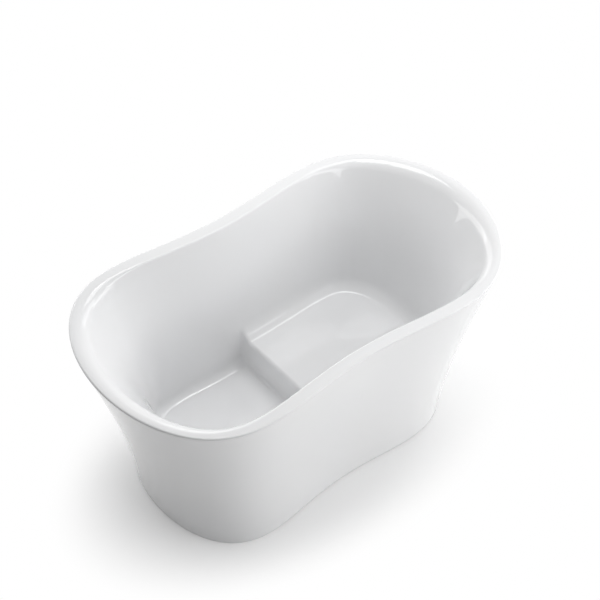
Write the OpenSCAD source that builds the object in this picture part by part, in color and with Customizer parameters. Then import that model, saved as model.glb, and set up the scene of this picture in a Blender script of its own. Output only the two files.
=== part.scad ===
// Freestanding soaking bathtub with a raised seat, built as a double shell.
// An inner basin carries the rim. A flared skirt hangs from the rim and hides the
// steel frame, the levelling feet, the waste and the overflow.
// X runs from the foot well to the seat, Y across the tub and Z up from the floor.

/* [Rim] */
// Length over the rim
rim_l = 1300; // [1240:5:1360]
// Width over the rim at its waist, half way along
rim_waist_w = 686; // [640:2:720]
// Width over the rim at the seat's lobe
rim_head_lobe_w = 731; // [690:2:760]
// Width over the rim near the end behind the seat
rim_head_shoulder_w = 586; // [550:2:640]
// Width over the rim at the foot well's lobe
rim_foot_lobe_w = 735; // [690:2:760]
// Width over the rim near the foot end
rim_foot_shoulder_w = 630; // [560:2:650]
// Height of the rim above the floor
rim_h = 616; // [600:2:660]
// Width of the rim, from its outer edge to the wall of the bath
rim_band = 39; // [34:1:50]
// Rounding of the rim's outer edge
rim_outer_r = 5; // [4:0.5:9]
// Reach of the inner edge's rounding at the waist, from the corner on to rim and wall
roll_waist = 5; // [3:0.5:12]
// Reach of the inner edge's rounding at the two ends of the tub
roll_end = 32; // [16:0.5:32]
// Depth of the lip that turns down on to the skirt
lip_drop = 24; // [20:1:30]

/* [Base of the skirt] */
// Length over the base
base_l = 990; // [960:5:1040]
// Width over the base at its waist
base_waist_w = 482; // [476:2:500]
// Width over the base at the seat's lobe
base_head_lobe_w = 506; // [500:2:530]
// Width over the base near the end behind the seat
base_head_shoulder_w = 420; // [410:2:460]
// Width over the base at the foot well's lobe
base_foot_lobe_w = 536; // [510:2:550]
// Width over the base near the foot end
base_foot_shoulder_w = 478; // [440:2:490]
// Bend of the skirt's flare: 1 is a straight taper, more bends out near the rim
skirt_flare = 1.39; // [1.2:0.01:1.6]
// Gap between the skirt's lower edge and the floor
skirt_gap = 2; // [1:0.5:6]
// Thickness of the skirt's acrylic and laminate
skirt_t = 6; // [4:0.5:8]

/* [Bath] */
// Length between the end walls, at the level of the foot well
bath_l = 836; // [800:2:860]
// Width between the side walls at the waist, at the level of the foot well
bath_waist_w = 428; // [410:2:440]
// Width between the side walls at the lobes, at the level of the foot well
bath_lobe_w = 440; // [420:2:450]
// Width between the side walls near the ends, at the level of the foot well
bath_shoulder_w = 416; // [390:2:426]
// Bend of the bath walls: 1 is a straight taper, more bends out near the rim
bath_flare = 2; // [1.6:0.05:2.4]
// Thickness of the basin's acrylic and laminate
basin_t = 8; // [6:0.5:9]
// Height of the foot well's bottom above the floor
well_z = 134; // [130:1:144]
// Height of the seat above the floor
seat_z = 234; // [215:1:260]
// Distance of the step from the middle of the tub, towards the foot end
step_back = 16; // [0:1:40]
// Rounding of the seat's front edge
seat_edge_r = 12; // [10:0.5:16]
// Fillet at the bottom of the step
step_fillet_r = 10; // [6:0.5:16]
// Lean of the step from upright, in degrees
step_lean = 2; // [1:0.5:6]
// Fillet between the seat and the walls
seat_fillet_r = 40; // [30:1:50]
// Fillet between the foot well's bottom and the walls
well_fillet_r = 25; // [20:1:34]

/* [Rim bond] */
// Width of the adhesive bead inside the joint of rim and skirt
bond_w = 8; // [5:0.5:10]
// Height of the adhesive bead
bond_h = 18; // [12:1:20]

/* [Baseboards] */
// Thickness of the boards laminated under the bath
board_t = 12; // [9:0.5:16]
// Distance of the boards' edges from the round of the fillets
board_margin = 4; // [2:0.5:10]
// Hole round the waste in the foot well's board
board_hole_d = 120; // [100:2:140]

/* [Frame] */
// Side of the square steel tube
tube_w = 25; // [20:1:30]
// Wall of the square steel tube
tube_t = 2; // [1.2:0.1:2.5]
// Distance from the middle of the tub to the middle of a rail
rail_y = 120; // [100:2:140]
// Distance from the middle of the tub to the middle of the foot end's crossbar
foot_bar_x = 392; // [380:1:400]
// Distance from the middle of the tub to the middle of the seat end's crossbar
head_bar_x = 338; // [320:1:350]
// Distance from the middle of the tub to the middle crossbar, towards the foot end
middle_bar_x = 80; // [50:5:120]
// Half the length of the two end crossbars
bar_reach = 212; // [208:1:214]
// Place of the front seat trestle along the tub
trestle_front_x = 60; // [40:5:90]
// Place of the back seat trestle along the tub
trestle_back_x = 290; // [250:5:300]

/* [Levelling feet] */
// Distance of the corner feet from the middle of the tub
foot_y = 184; // [175:1:188]
// Diameter of a foot's threaded stud
stud_d = 12; // [8:0.5:14]
// Diameter of a foot's pad
pad_d = 48; // [36:1:52]
// Height of a foot's pad
pad_h = 12; // [8:0.5:14]
// Height of the threaded boss under the frame
boss_h = 16; // [12:1:20]
// Height of a lock nut
lock_nut_h = 10; // [8:0.5:12]
// Width across the flats of a lock nut
lock_nut_w = 19; // [17:0.5:24]
// How far a foot can be screwed out
foot_travel = 20; // [10:1:20]

/* [Skirt fixing] */
// Thickness of a skirt block at its thinnest
block_t = 18; // [12:1:24]
// Height of a skirt block
block_h = 40; // [34:1:46]
// Height of a skirt block's lower face above the floor
block_z = 14; // [10:1:18]
// Width of a steel bracket
bracket_w = 30; // [24:1:36]
// Thickness of a steel bracket
bracket_t = 3; // [2:0.5:4]
// Diameter of the bolts that hold the brackets to the rails
bolt_d = 6; // [5:0.5:6]

/* [Waste] */
// Distance of the waste from the middle of the tub, towards the foot end
drain_back = 290; // [270:5:300]
// Hole for the waste in the bottom of the foot well
drain_bore_d = 52; // [50:0.5:54]
// Depth of the round recess that the waste flange sits in
sump_depth = 3; // [1:0.5:4]
// Diameter of the waste flange
flange_d = 70; // [66:1:74]
// Thickness of the waste flange
flange_t = 3; // [2:0.5:4]
// Outer diameter of the waste's threaded body
body_d = 47.8; // [46:0.2:48]
// Bore of the waste's threaded body
body_bore_d = 40; // [38:0.5:41]
// Length of the waste's threaded body below the flange
body_l = 52; // [50:1:56]
// Thickness of the seal under the flange
flange_seal_t = 1.5; // [1:0.25:2]
// Thickness of the rubber washer under the bath
washer_t = 4; // [3:0.5:6]
// Outer diameter of the rubber washer
washer_d = 72; // [66:1:76]
// Height of the waste's backnut
backnut_h = 9; // [7:0.5:12]
// Width across the flats of the backnut
backnut_w = 64; // [60:1:68]

/* [Click stopper] */
// Diameter of the stopper's cap
cap_d = 62; // [58:1:64]
// Height of the cap at its middle
cap_h = 6; // [4:0.5:8]
// Diameter of the stopper's stem
stem_d = 6; // [5:0.5:7]
// Length of the stem below the cap
stem_l = 34; // [30:1:36]
// How far a push on the cap lets it rise
stopper_travel = 9; // [6:0.5:10]
// Outer diameter of the click cartridge
cartridge_d = 12; // [10:0.5:14]
// Length of the click cartridge
cartridge_l = 26; // [22:1:28]

/* [Drain tee] */
// Outer diameter of the tee's body
tee_d = 48; // [46:0.5:50]
// Outer diameter of the tee's neck and branch
neck_d = 40; // [39:0.5:41]
// Diameter of the outlet pipe
outlet_d = 40; // [38:0.5:41]
// Wall of the outlet and overflow pipes
pipe_t = 2; // [1.5:0.25:3]
// Diameter of the waterway through the tee
tee_bore_d = 34; // [30:0.5:35]
// Gap between the outlet pipe's end and the floor
outlet_gap = 4; // [2:0.5:8]
// Length of the outlet pipe's free end, which a drain connector grips
outlet_grip = 8; // [6:0.5:8]

/* [Overflow] */
// Height of the rim above the overflow's middle
overflow_drop = 96; // [86:2:116]
// Diameter of the overflow hole
overflow_bore_d = 40; // [38:0.5:42]
// Diameter of the overflow's cover
cover_d = 60; // [57:1:64]
// Height of the overflow's cover
cover_h = 9; // [7:0.5:12]
// Thickness of the overflow's seal
overflow_seal_t = 3; // [2:0.5:4]
// Depth of the overflow elbow's chamber
chamber_l = 34; // [33:0.5:35]
// Diameter of the overflow pipe
overflow_pipe_d = 25; // [24:0.5:26]
// Radius of the overflow pipe's lower bend
lower_bend_r = 50; // [44:1:56]
// Radius of the overflow pipe's upper bend
upper_bend_r = 80; // [60:1:90]
// Lean of the overflow pipe from upright, in degrees
pipe_lean = 8; // [7.5:0.25:8.5]

/* [Fits] */
// Gap between curved pieces that are bonded or pressed together
bond_gap = 0.3; // [0.2:0.05:0.4]
// Gap all round a thread or a stem that turns or slides
running_gap = 0.3; // [0.25:0.05:0.4]
// Gap all round a screw in its hole
screw_gap = 0.2; // [0.1:0.05:0.3]
// Diameter of the wood screws
screw_d = 4.2; // [3.5:0.1:5]
// Depth that the wood screws bite into wood
screw_bite = 8; // [6:0.5:9]

/* [Hidden] */

acrylic = "white";
galvanised = [0.72, 0.74, 0.76];
plywood = [0.80, 0.66, 0.45];
chrome = [0.86, 0.87, 0.89];
rubber = [0.13, 0.13, 0.14];
abs_white = [0.93, 0.93, 0.91];
adhesive = [0.88, 0.86, 0.80];

// Share of the half length at which a lobe and a shoulder are measured
lobe_u = 0.5;
shoulder_u = 0.8;
// Columns of points along one side, in each half of the tub
cols = 16;
// Points on each rounding of the step
step_arc = 3;
// Rows of points up a wall, round a fillet and up the skirt
wall_rows = 7;
fillet_rows = 4;
edge_rows = 4;
skirt_rows = 11;
// Shares of the half length between which the rim's inner edge softens
roll_from_u = 0.35;
roll_to_u = 0.95;

// Holes with their clearances
screw_hole_d = screw_d + 2 * screw_gap;
bolt_hole_d = bolt_d + 2 * screw_gap;
stud_hole_d = stud_d + 2 * running_gap;
body_hole_d = body_d + 2 * bond_gap;
overflow_pipe_hole_d = overflow_pipe_d + 2 * bond_gap;

// An outline with a waist: half its length, then the factors of its width along u = x / half length
function oval(l, waist, head_lobe, head_shoulder, foot_lobe, foot_shoulder) =
  let (c = waist / 2,
       lobe_f = 2 * sqrt(1 - lobe_u ^ 2),
       shoulder_f = 2 * sqrt(1 - shoulder_u ^ 2),
       h1 = head_lobe / lobe_f - c,
       h2 = head_shoulder / shoulder_f - c,
       f1 = foot_lobe / lobe_f - c,
       f2 = foot_shoulder / shoulder_f - c,
       even1 = (h1 + f1) / 2 / lobe_u ^ 2,
       even2 = (h2 + f2) / 2 / shoulder_u ^ 2,
       odd1 = (h1 - f1) / 2 / lobe_u,
       odd2 = (h2 - f2) / 2 / shoulder_u,
       k4 = (even2 - even1) / (shoulder_u ^ 2 - lobe_u ^ 2),
       k3 = (odd2 - odd1) / (shoulder_u ^ 2 - lobe_u ^ 2))
  [l / 2, c, odd1 - k3 * lobe_u ^ 2, even1 - k4 * lobe_u ^ 2, k3, k4];

function width_factor(o, u) = o[1] + o[2] * u + o[3] * u ^ 2 + o[4] * u ^ 3 + o[5] * u ^ 4;
function width_slope(o, u) = o[2] + 2 * o[3] * u + 3 * o[4] * u ^ 2 + 4 * o[5] * u ^ 3;

// The outline's point and outward normal at angle t
function oval_point(o, t) = [o[0] * cos(t), sin(t) * width_factor(o, cos(t))];
function oval_normal(o, t) =
  let (n = [cos(t) * width_factor(o, cos(t)) - sin(t) ^ 2 * width_slope(o, cos(t)), o[0] * sin(t)])
  n / norm(n);

rim_oval = oval(rim_l, rim_waist_w, rim_head_lobe_w, rim_head_shoulder_w, rim_foot_lobe_w,
  rim_foot_shoulder_w);
base_oval = oval(base_l, base_waist_w, base_head_lobe_w, base_head_shoulder_w, base_foot_lobe_w,
  base_foot_shoulder_w);
bath_oval = oval(bath_l, bath_waist_w, bath_lobe_w, bath_shoulder_w, bath_lobe_w, bath_shoulder_w);

// The step's side view, from the seat down to the foot well, as [x, z], moved into the solid by off
step_x = -step_back;
lean_run = (seat_z - well_z) * tan(step_lean);
step_turn = 90 - step_lean;
function step_profile(off) = concat(
  [for (i = [0:step_arc]) let (a = step_turn * i / step_arc)
    [step_x + seat_edge_r - (seat_edge_r - off) * sin(a),
     seat_z - seat_edge_r + (seat_edge_r - off) * cos(a)]],
  [for (i = [0:step_arc]) let (a = step_turn * (1 - i / step_arc))
    [step_x - lean_run - step_fillet_r + (step_fillet_r + off) * sin(a),
     well_z + step_fillet_r - (step_fillet_r + off) * cos(a)]]);
step_cols = len(step_profile(0));
half_cols = 2 * cols + step_cols - 1;

// Place along X of column j on an outline of half length a, with the step's columns kept upright
function col_x(a, j, off) =
  let (p = step_profile(off), x0 = p[0][0], x1 = p[step_cols - 1][0])
  j < cols ? x0 + (a - x0) * cos(90 * j / cols)
  : j < cols + step_cols ? p[j - cols][0]
  : x1 - (a + x1) * sin(90 * (j - cols - step_cols + 1) / cols);

// Height of the bath's bottom and radius of its fillet at column j
function col_z(j, off) =
  j < cols ? seat_z - off
  : j < cols + step_cols ? step_profile(off)[j - cols][1]
  : well_z - off;
function col_r(j, off) =
  off + well_fillet_r + (seat_fillet_r - well_fillet_r) * (col_z(j, 0) - well_z) / (seat_z - well_z);

// Column k of a whole ring, up the far side and back down the near side
ring_cols = 2 * half_cols;
function side(k) = k <= half_cols ? 1 : -1;
function fold(k) = k <= half_cols ? k : ring_cols - k;
function mirror_y(p, s) = [p[0], s * p[1]];

// Point and normal of an outline at column j
function col_t(o, j, off) = acos(max(-1, min(1, col_x(o[0], j, off) / o[0])));
function col_point(o, j, off) = oval_point(o, col_t(o, j, off));
function col_normal(o, j, off) = oval_normal(o, col_t(o, j, off));

// The skirt's outside at column j and height z, moved in by off
flare_top = rim_h - rim_outer_r;
function skirt_point(j, z, off) =
  let (b = col_point(base_oval, j, 0), r = col_point(rim_oval, j, 0),
       w = (z / flare_top) ^ skirt_flare,
       n = col_normal(base_oval, j, 0) * (1 - w) + col_normal(rim_oval, j, 0) * w)
  b + (r - b) * w - n / norm(n) * off;

// The bath's wall at column j and height z, moved out by off
bath_depth = rim_h - well_z;
function wall_share(z) = (max(0, z - well_z) / bath_depth) ^ bath_flare;
function corner_point(j, off) =
  col_point(rim_oval, j, off) - col_normal(rim_oval, j, off) * (rim_band - off);
function bath_point(j, off) =
  col_point(bath_oval, j, off) + bath_normal(j) * off;
function bath_normal(j) =
  j >= cols && j < cols + step_cols ? [0, 1] : col_normal(bath_oval, j, 0);
function wall_point(j, z, off) =
  let (f = bath_point(j, off), r = corner_point(j, off))
  f + (r - f) * wall_share(z);

// Angle of the wall from upright at column j and height z
function wall_angle(j, z) =
  atan((corner_point(j, 0) - bath_point(j, 0)) * bath_normal(j) * bath_flare
    * (max(0, z - well_z) / bath_depth) ^ (bath_flare - 1) / bath_depth);

// The rows of the basin's visible side at column j, from the lip's lower edge to the bottom
function lip_row(j, i) =
  i == 0 ? at(skirt_point(j, rim_h - lip_drop, 0), rim_h - lip_drop)
  : let (a = 90 * (i - 1) / edge_rows)
    at(col_point(rim_oval, j, 0) - col_normal(rim_oval, j, 0) * rim_outer_r * (1 - cos(a)),
      flare_top + rim_outer_r * sin(a));

// The inner edge rolls from the rim into the wall, tightly at the waist and softly at the ends
function roll_reach(j) =
  let (u = abs(col_x(rim_oval[0], j, 0)) / rim_oval[0],
       s = max(0, min(1, (u - roll_from_u) / (roll_to_u - roll_from_u))))
  roll_waist + (roll_end - roll_waist) * s ^ 2 * (3 - 2 * s);
function wall_run(j, z) =
  (corner_point(j, 0) - bath_point(j, 0)) * bath_flare
    * (max(0, z - well_z) / bath_depth) ^ (bath_flare - 1) / bath_depth;
function roll_low(j) = rim_h - roll_reach(j) / norm([wall_run(j, rim_h)[0], wall_run(j, rim_h)[1], 1]);
function curve(p, s) =
  p[0] * (1 - s) ^ 3 + p[1] * 3 * s * (1 - s) ^ 2 + p[2] * 3 * s ^ 2 * (1 - s) + p[3] * s ^ 3;
// One row of the roll as points on the front and on the back of the shell
function roll_row(j, i) =
  let (z = roll_low(j),
       run = wall_run(j, z),
       low = at(wall_point(j, z, 0), z),
       corner = low + [run[0], run[1], 1] * (rim_h - z),
       reach = norm(corner - low),
       n = col_normal(rim_oval, j, 0),
       high = corner + [n[0], n[1], 0] * reach,
       turn = 90 - atan(norm(run)),
       k = 4 / 3 * tan(turn / 4) / tan(turn / 2),
       p = curve([high, high + (corner - high) * k, low + (corner - low) * k, low], i / edge_rows),
       r = reach / tan(turn / 2),
       centre = high - [0, 0, r])
  [p, centre + (p - centre) * max(1, r - basin_t) / r];
function fillet_top(j, off) =
  col_z(j, off) + col_r(j, off) * (1 - sin(wall_angle(j, col_z(j, 0) + col_r(j, 0))));
function wall_row(j, i, off) =
  let (start = roll_low(j),
       z = start + (fillet_top(j, off) - start) * i / wall_rows)
  at(wall_point(j, z, off), z);
function fillet_row(j, i, off) =
  let (low = wall_angle(j, col_z(j, 0) + col_r(j, 0)),
       a = low + (90 - low) * i / fillet_rows,
       r = col_r(j, off))
  at(wall_point(j, fillet_top(j, off), off) - bath_normal(j) * r * (cos(low) - cos(a)),
    col_z(j, off) + r * (1 - sin(a)));

function at(p, z) = [p[0], p[1], z];
function ring(f) = [for (k = [0:ring_cols - 1]) let (p = f(fold(k))) [p[0], side(k) * p[1], p[2]]];

basin_rings = concat(
  [for (i = [0:edge_rows + 1]) ring(function (j) lip_row(j, i))],
  [for (i = [0:edge_rows]) ring(function (j) roll_row(j, i)[0])],
  [for (i = [1:wall_rows]) ring(function (j) wall_row(j, i, 0))],
  [for (i = [1:fillet_rows]) ring(function (j) fillet_row(j, i, 0))]);
basin_back_rings = concat(
  [ring(function (j) at(skirt_point(j, rim_h - lip_drop, skirt_t), rim_h - lip_drop))],
  [ring(function (j) at(skirt_point(j, rim_h - basin_t, skirt_t), rim_h - basin_t))],
  [for (i = [0:2:edge_rows]) ring(function (j) roll_row(j, i)[1])],
  [for (i = [1:wall_rows]) ring(function (j) wall_row(j, i, basin_t))],
  [for (i = [1:fillet_rows]) ring(function (j) fillet_row(j, i, basin_t))]);

// Faces between ring a and ring b, whose first points have those numbers
function band_faces(a, b, n = ring_cols) =
  [for (k = [0:n - 1]) let (m = (k + 1) % n)
    each [[a + k, a + m, b + m], [a + k, b + m, b + k]]];
// Faces straight across a ring that starts at point a
function floor_faces(a) =
  [for (k = [0:half_cols - 1]) let (m = k + 1, n = ring_cols - m, q = (ring_cols - k) % ring_cols)
    each concat(m < half_cols ? [[a + k, a + m, a + n]] : [], k > 0 ? [[a + k, a + n, a + q]] : [])];
function flipped(faces) = [for (f = faces) [f[2], f[1], f[0]]];

// A closed skin over rings that run down one side and up the other
module ring_solid(rings, n = ring_cols) {
  faces = [for (i = [0:len(rings) - 1]) each band_faces(i * n, ((i + 1) % len(rings)) * n, n)];
  polyhedron([for (r = rings) each r], flipped(faces), convexity = 10);
}

module basin_shell() {
  front = len(basin_rings);
  back = len(basin_back_rings);
  faces = concat(
    [for (i = [0:front - 2]) each flipped(band_faces(i * ring_cols, (i + 1) * ring_cols))],
    flipped(floor_faces((front - 1) * ring_cols)),
    [for (i = [0:back - 2]) each band_faces((front + i) * ring_cols, (front + i + 1) * ring_cols)],
    floor_faces((front + back - 1) * ring_cols),
    band_faces(0, front * ring_cols));
  polyhedron([for (r = concat(basin_rings, basin_back_rings)) each r], faces, convexity = 10);
}

// Heights that follow from the sizes above
frame_top = well_z - basin_t - board_t;
frame_z = frame_top - tube_w;
seat_board_z = seat_z - basin_t - board_t;
boss_z = frame_z - boss_h;
stud_tip_gap = 0.5;
stud_top = frame_top - tube_t - stud_tip_gap;
flange_z = well_z - sump_depth + flange_seal_t;
body_end = flange_z - body_l;

// The waste's line and the tee under it
drain_x = -drain_back;
tee_seal_t = 2.5;
tee_top = body_end - tee_seal_t;
collar_h = 5;
collar_z = tee_top - collar_h;
collar_d = body_d - 0.4;
tee_neck_h = 12;
tee_body_top = tee_top - tee_neck_h;
tee_body_h = 44;
tee_z = tee_body_top - tee_body_h;
branch_wall = 3;
branch_d = overflow_pipe_d + 2 * branch_wall;
branch_drop = 18;
branch_z = tee_body_top - branch_drop;
branch_l = 52;
branch_socket_l = 16;
socket_l = 12;
thread_d = tee_d + 2 * running_gap;
spigot_d = outlet_d - 1;
spigot_hole_d = spigot_d + 2 * bond_gap;

// The bath wall's distance and angle where the overflow goes through, level with the waste
overflow_z = rim_h - overflow_drop;
foot_wall = [for (i = [0:cols]) wall_point(half_cols - i, overflow_z, 0)];
overflow_y = lookup(drain_x, foot_wall);
overflow_lean = lookup(drain_x,
  [for (i = [0:cols]) [foot_wall[i][0], wall_angle(half_cols - i, overflow_z)]]);

// The overflow's own frame: its z axis leaves the near wall into the bath, its y axis runs down the wall
module at_overflow() {
  translate([drain_x, -overflow_y, overflow_z]) rotate([overflow_lean - 90, 0, 0]) children();
}
inner_land = 1.2;
outer_land = basin_t * cos(overflow_lean) - 2 * inner_land;
seal_back = outer_land + overflow_seal_t;
chamber_wall = 3;
stub_offset = 3.5;
stub_z = -(seal_back + chamber_l / 2 + stub_offset);
stub_l = 40;
elbow_d = 46;
pipe_in = 26;
corner_l = 62;

// The overflow pipe's corners, as [distance towards the near side, height] from the waste's line
function from_overflow(y, z) =
  [overflow_y - y * sin(overflow_lean) - z * cos(overflow_lean),
   overflow_z - y * cos(overflow_lean) + z * sin(overflow_lean)];
pipe_top = from_overflow(pipe_in, stub_z);
pipe_corner_2 = from_overflow(corner_l, stub_z);
pipe_corner_1 = [pipe_corner_2[0] - (pipe_corner_2[1] - branch_z) * tan(pipe_lean), branch_z];
pipe_start = [branch_l - branch_socket_l + 2, branch_z];

// Square tube along X, its middle at the origin of its cross-section
module square_tube_x(l) {
  difference() {
    translate([0, -tube_w / 2, 0]) cube([l, tube_w, tube_w]);
    translate([-1, -tube_w / 2 + tube_t, tube_t])
      cube([l + 2, tube_w - 2 * tube_t, tube_w - 2 * tube_t]);
  }
}
module square_tube_y(l) {
  translate([0, -l / 2, 0]) rotate([0, 0, 90]) square_tube_x(l);
}

// A clearance hole through both walls of a tube that lies at height z
module tube_hole(p, z, d) {
  translate([p[0], p[1], z - 1]) cylinder(h = tube_w + 2, d = d, $fn = 24);
}

// A ring and a nut with flats
module ring_at(z, h, d, bore) {
  difference() {
    translate([0, 0, z]) cylinder(h = h, d = d, $fn = 48);
    translate([0, 0, z - 1]) cylinder(h = h + 2, d = bore, $fn = 48);
  }
}
module nut_at(z, h, flats, bore, sides = 6) {
  difference() {
    translate([0, 0, z]) cylinder(h = h, d = flats / cos(180 / sides), $fn = sides);
    translate([0, 0, z - 1]) cylinder(h = h + 2, d = bore, $fn = 48);
  }
}

// The pipe's path as stations [point, direction], with a bend at each corner
bend_steps = 6;
function unit(v) = v / norm(v);
function bend_stations(a, p, b, r) =
  let (u = unit(p - a), v = unit(b - p), turn = acos(u * v), n = unit(v - u * (u * v)),
       centre = p - u * r * tan(turn / 2) + n * r)
  [for (i = [0:bend_steps]) let (t = turn * i / bend_steps)
    [centre - n * r * cos(t) + u * r * sin(t), u * cos(t) + n * sin(t)]];
function pipe_stations() = concat(
  [[pipe_start, unit(pipe_corner_1 - pipe_start)]],
  bend_stations(pipe_start, pipe_corner_1, pipe_corner_2, lower_bend_r),
  bend_stations(pipe_corner_1, pipe_corner_2, pipe_top, upper_bend_r),
  [[pipe_top, unit(pipe_top - pipe_corner_2)]]);
pipe_sides = 24;
function pipe_ring(st, r) =
  [for (k = [0:pipe_sides - 1]) let (a = 360 * k / pipe_sides)
    [drain_x - r * sin(a), -st[0][0] + st[1][1] * r * cos(a), st[0][1] + st[1][0] * r * cos(a)]];
module pipe_along(stations, d, t) {
  n = len(stations);
  outer = [for (st = stations) pipe_ring(st, d / 2)];
  inner = [for (i = [1:n]) pipe_ring(stations[n - i], d / 2 - t)];
  ring_solid(concat(outer, inner), pipe_sides);
}

module basin() {
  color(acrylic) difference() {
    basin_shell();
    translate([drain_x, 0, well_z - sump_depth]) cylinder(h = sump_depth + 1, d = flange_d + 6, $fn = 64);
    translate([drain_x, 0, 0]) cylinder(h = well_z, d = drain_bore_d, $fn = 48);
    at_overflow() {
      translate([0, 0, -basin_t - 10]) cylinder(h = 30, d = overflow_bore_d, $fn = 48);
      translate([0, 0, -inner_land]) cylinder(h = 12, d = cover_d + 3, $fn = 64);
      translate([0, 0, -outer_land - 12]) cylinder(h = 12, d = overflow_bore_d + 14, $fn = 64);
    }
  }
}

module skirt() {
  top = rim_h - lip_drop;
  zs = [for (i = [0:skirt_rows]) skirt_gap + (top - skirt_gap) * i / skirt_rows];
  color(acrylic) ring_solid(concat(
    [for (z = zs) ring(function (j) at(skirt_point(j, z, 0), z))],
    [for (i = [0:skirt_rows]) let (z = zs[skirt_rows - i])
      ring(function (j) at(skirt_point(j, z, skirt_t), z))]));
}

// The bead in the corner behind the joint, clear of both shells by the bond gap
module rim_bond_bead() {
  z0 = rim_h - lip_drop - bond_h / 2;
  z1 = z0 + bond_h;
  color(adhesive) ring_solid([
    ring(function (j) at(skirt_point(j, z0, skirt_t + bond_gap), z0)),
    ring(function (j) at(skirt_point(j, z1, skirt_t + bond_gap), z1)),
    ring(function (j) at(skirt_point(j, z1, skirt_t + bond_gap + bond_w), z1)),
    ring(function (j) at(skirt_point(j, z0, skirt_t + bond_gap + bond_w / 2), z0))]);
}

// Outline of the bath's flat underside between columns j0 and j1, drawn in by the margin
function flat_edge(j, s) =
  let (p = fillet_row(j, fillet_rows, basin_t), n = bath_normal(j))
  [p[0] - n[0] * board_margin, s * (p[1] - n[1] * board_margin)];
module board_shape(j0, j1) {
  polygon(concat([for (j = [j0:j1]) if (flat_edge(j, 1)[1] > 0) flat_edge(j, 1)],
    [for (i = [0:j1 - j0]) let (j = j1 - i) if (flat_edge(j, 1)[1] > 0) flat_edge(j, -1)]));
}
rail_ys = [-rail_y, rail_y];
// The screws keep their distance from the waste's hole and from the middle crossbar
waste_screw_gap = 55;
bar_screw_gap = 20;
well_screws = [for (x = [drain_x - waste_screw_gap, drain_x + waste_screw_gap,
    bar_screw_gap - middle_bar_x]) each [for (y = rail_ys) [x, y]]];
seat_screw_y = 75;
seat_screws = [for (x = [trestle_front_x, trestle_back_x])
  each [[x, -seat_screw_y], [x, seat_screw_y]]];

// A blind hole for a wood screw, from the face at the origin
module screw_pilot() {
  translate([0, 0, -1]) cylinder(h = screw_bite + 1 + screw_gap, d = screw_hole_d, $fn = 24);
}

module well_board() {
  color(plywood) difference() {
    translate([0, 0, frame_top]) linear_extrude(height = board_t)
      board_shape(cols + step_cols - 1, half_cols);
    translate([drain_x, 0, frame_top - 1]) cylinder(h = board_t + 2, d = board_hole_d, $fn = 64);
    for (p = well_screws) translate([p[0], p[1], frame_top]) screw_pilot();
  }
}
module seat_board() {
  color(plywood) difference() {
    translate([0, 0, seat_board_z]) linear_extrude(height = board_t) board_shape(0, cols);
    for (p = seat_screws) translate([p[0], p[1], seat_board_z]) screw_pilot();
  }
}

// Rails run from crossbar to crossbar
rail_x0 = -foot_bar_x + tube_w / 2;
rail_x1 = head_bar_x - tube_w / 2;
module rail(y) {
  color(galvanised) difference() {
    translate([rail_x0, y, frame_z]) square_tube_x(rail_x1 - rail_x0);
    for (p = well_screws) if (p[1] == y) tube_hole(p, frame_z, screw_hole_d);
    for (b = block_columns) translate([block_x(b), y, frame_z - 1])
      cylinder(h = tube_t + 2, d = bolt_hole_d, $fn = 24);
  }
}
module frame_rail_near() {
  rail(-rail_y);
}
module frame_rail_far() {
  rail(rail_y);
}

// Where the five feet stand
feet = [[-foot_bar_x, -foot_y], [-foot_bar_x, foot_y], [head_bar_x, -foot_y], [head_bar_x, foot_y],
  [-middle_bar_x, 0]];
module crossbar(x, l) {
  color(galvanised) difference() {
    translate([x, 0, frame_z]) square_tube_y(l);
    for (p = feet) if (p[0] == x) translate([p[0], p[1], frame_z - 1])
      cylinder(h = tube_t + 2, d = stud_hole_d, $fn = 36);
  }
}
module frame_crossbar_foot() {
  crossbar(-foot_bar_x, 2 * bar_reach);
}
module frame_crossbar_middle() {
  crossbar(-middle_bar_x, 2 * rail_y - tube_w);
}
module frame_crossbar_head() {
  crossbar(head_bar_x, 2 * bar_reach);
}

// A trestle stands on both rails: two posts and a bearer across them
module trestle(x) {
  bearer_z = seat_board_z - tube_w;
  color(galvanised) {
    for (y = rail_ys) translate([x - tube_w / 2, y, frame_top]) rotate([0, -90, 0])
      translate([0, 0, -tube_w]) square_tube_x(bearer_z - frame_top);
    difference() {
      translate([x, 0, bearer_z]) square_tube_y(2 * rail_y + tube_w);
      for (p = seat_screws) if (p[0] == x) tube_hole(p, bearer_z, screw_hole_d);
    }
  }
}
module seat_trestle_front() {
  trestle(trestle_front_x);
}
module seat_trestle_back() {
  trestle(trestle_back_x);
}

// Plastic caps in the open ends of the two long crossbars
module frame_end_caps() {
  plug_w = tube_w - 2 * tube_t - 2 * bond_gap;
  plug_l = 10;
  head_t = 2;
  color(rubber) for (x = [-foot_bar_x, head_bar_x]) for (s = [-1, 1])
    translate([x, s * bar_reach, frame_z + tube_w / 2]) {
      translate([-tube_w / 2, min(0, head_t * s), -tube_w / 2]) cube([tube_w, head_t, tube_w]);
      translate([-plug_w / 2, -plug_l * (1 + s) / 2, -plug_w / 2]) cube([plug_w, plug_l, plug_w]);
    }
}

module foot_bosses() {
  boss_d = stud_d + 10;
  color(galvanised) for (p = feet) translate([p[0], p[1], 0])
    ring_at(boss_z, boss_h, boss_d, stud_hole_d);
}
module foot_lock_nuts() {
  color(galvanised) for (p = feet) translate([p[0], p[1], 0])
    nut_at(boss_z - lock_nut_h, lock_nut_h, lock_nut_w, stud_hole_d);
}

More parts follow.
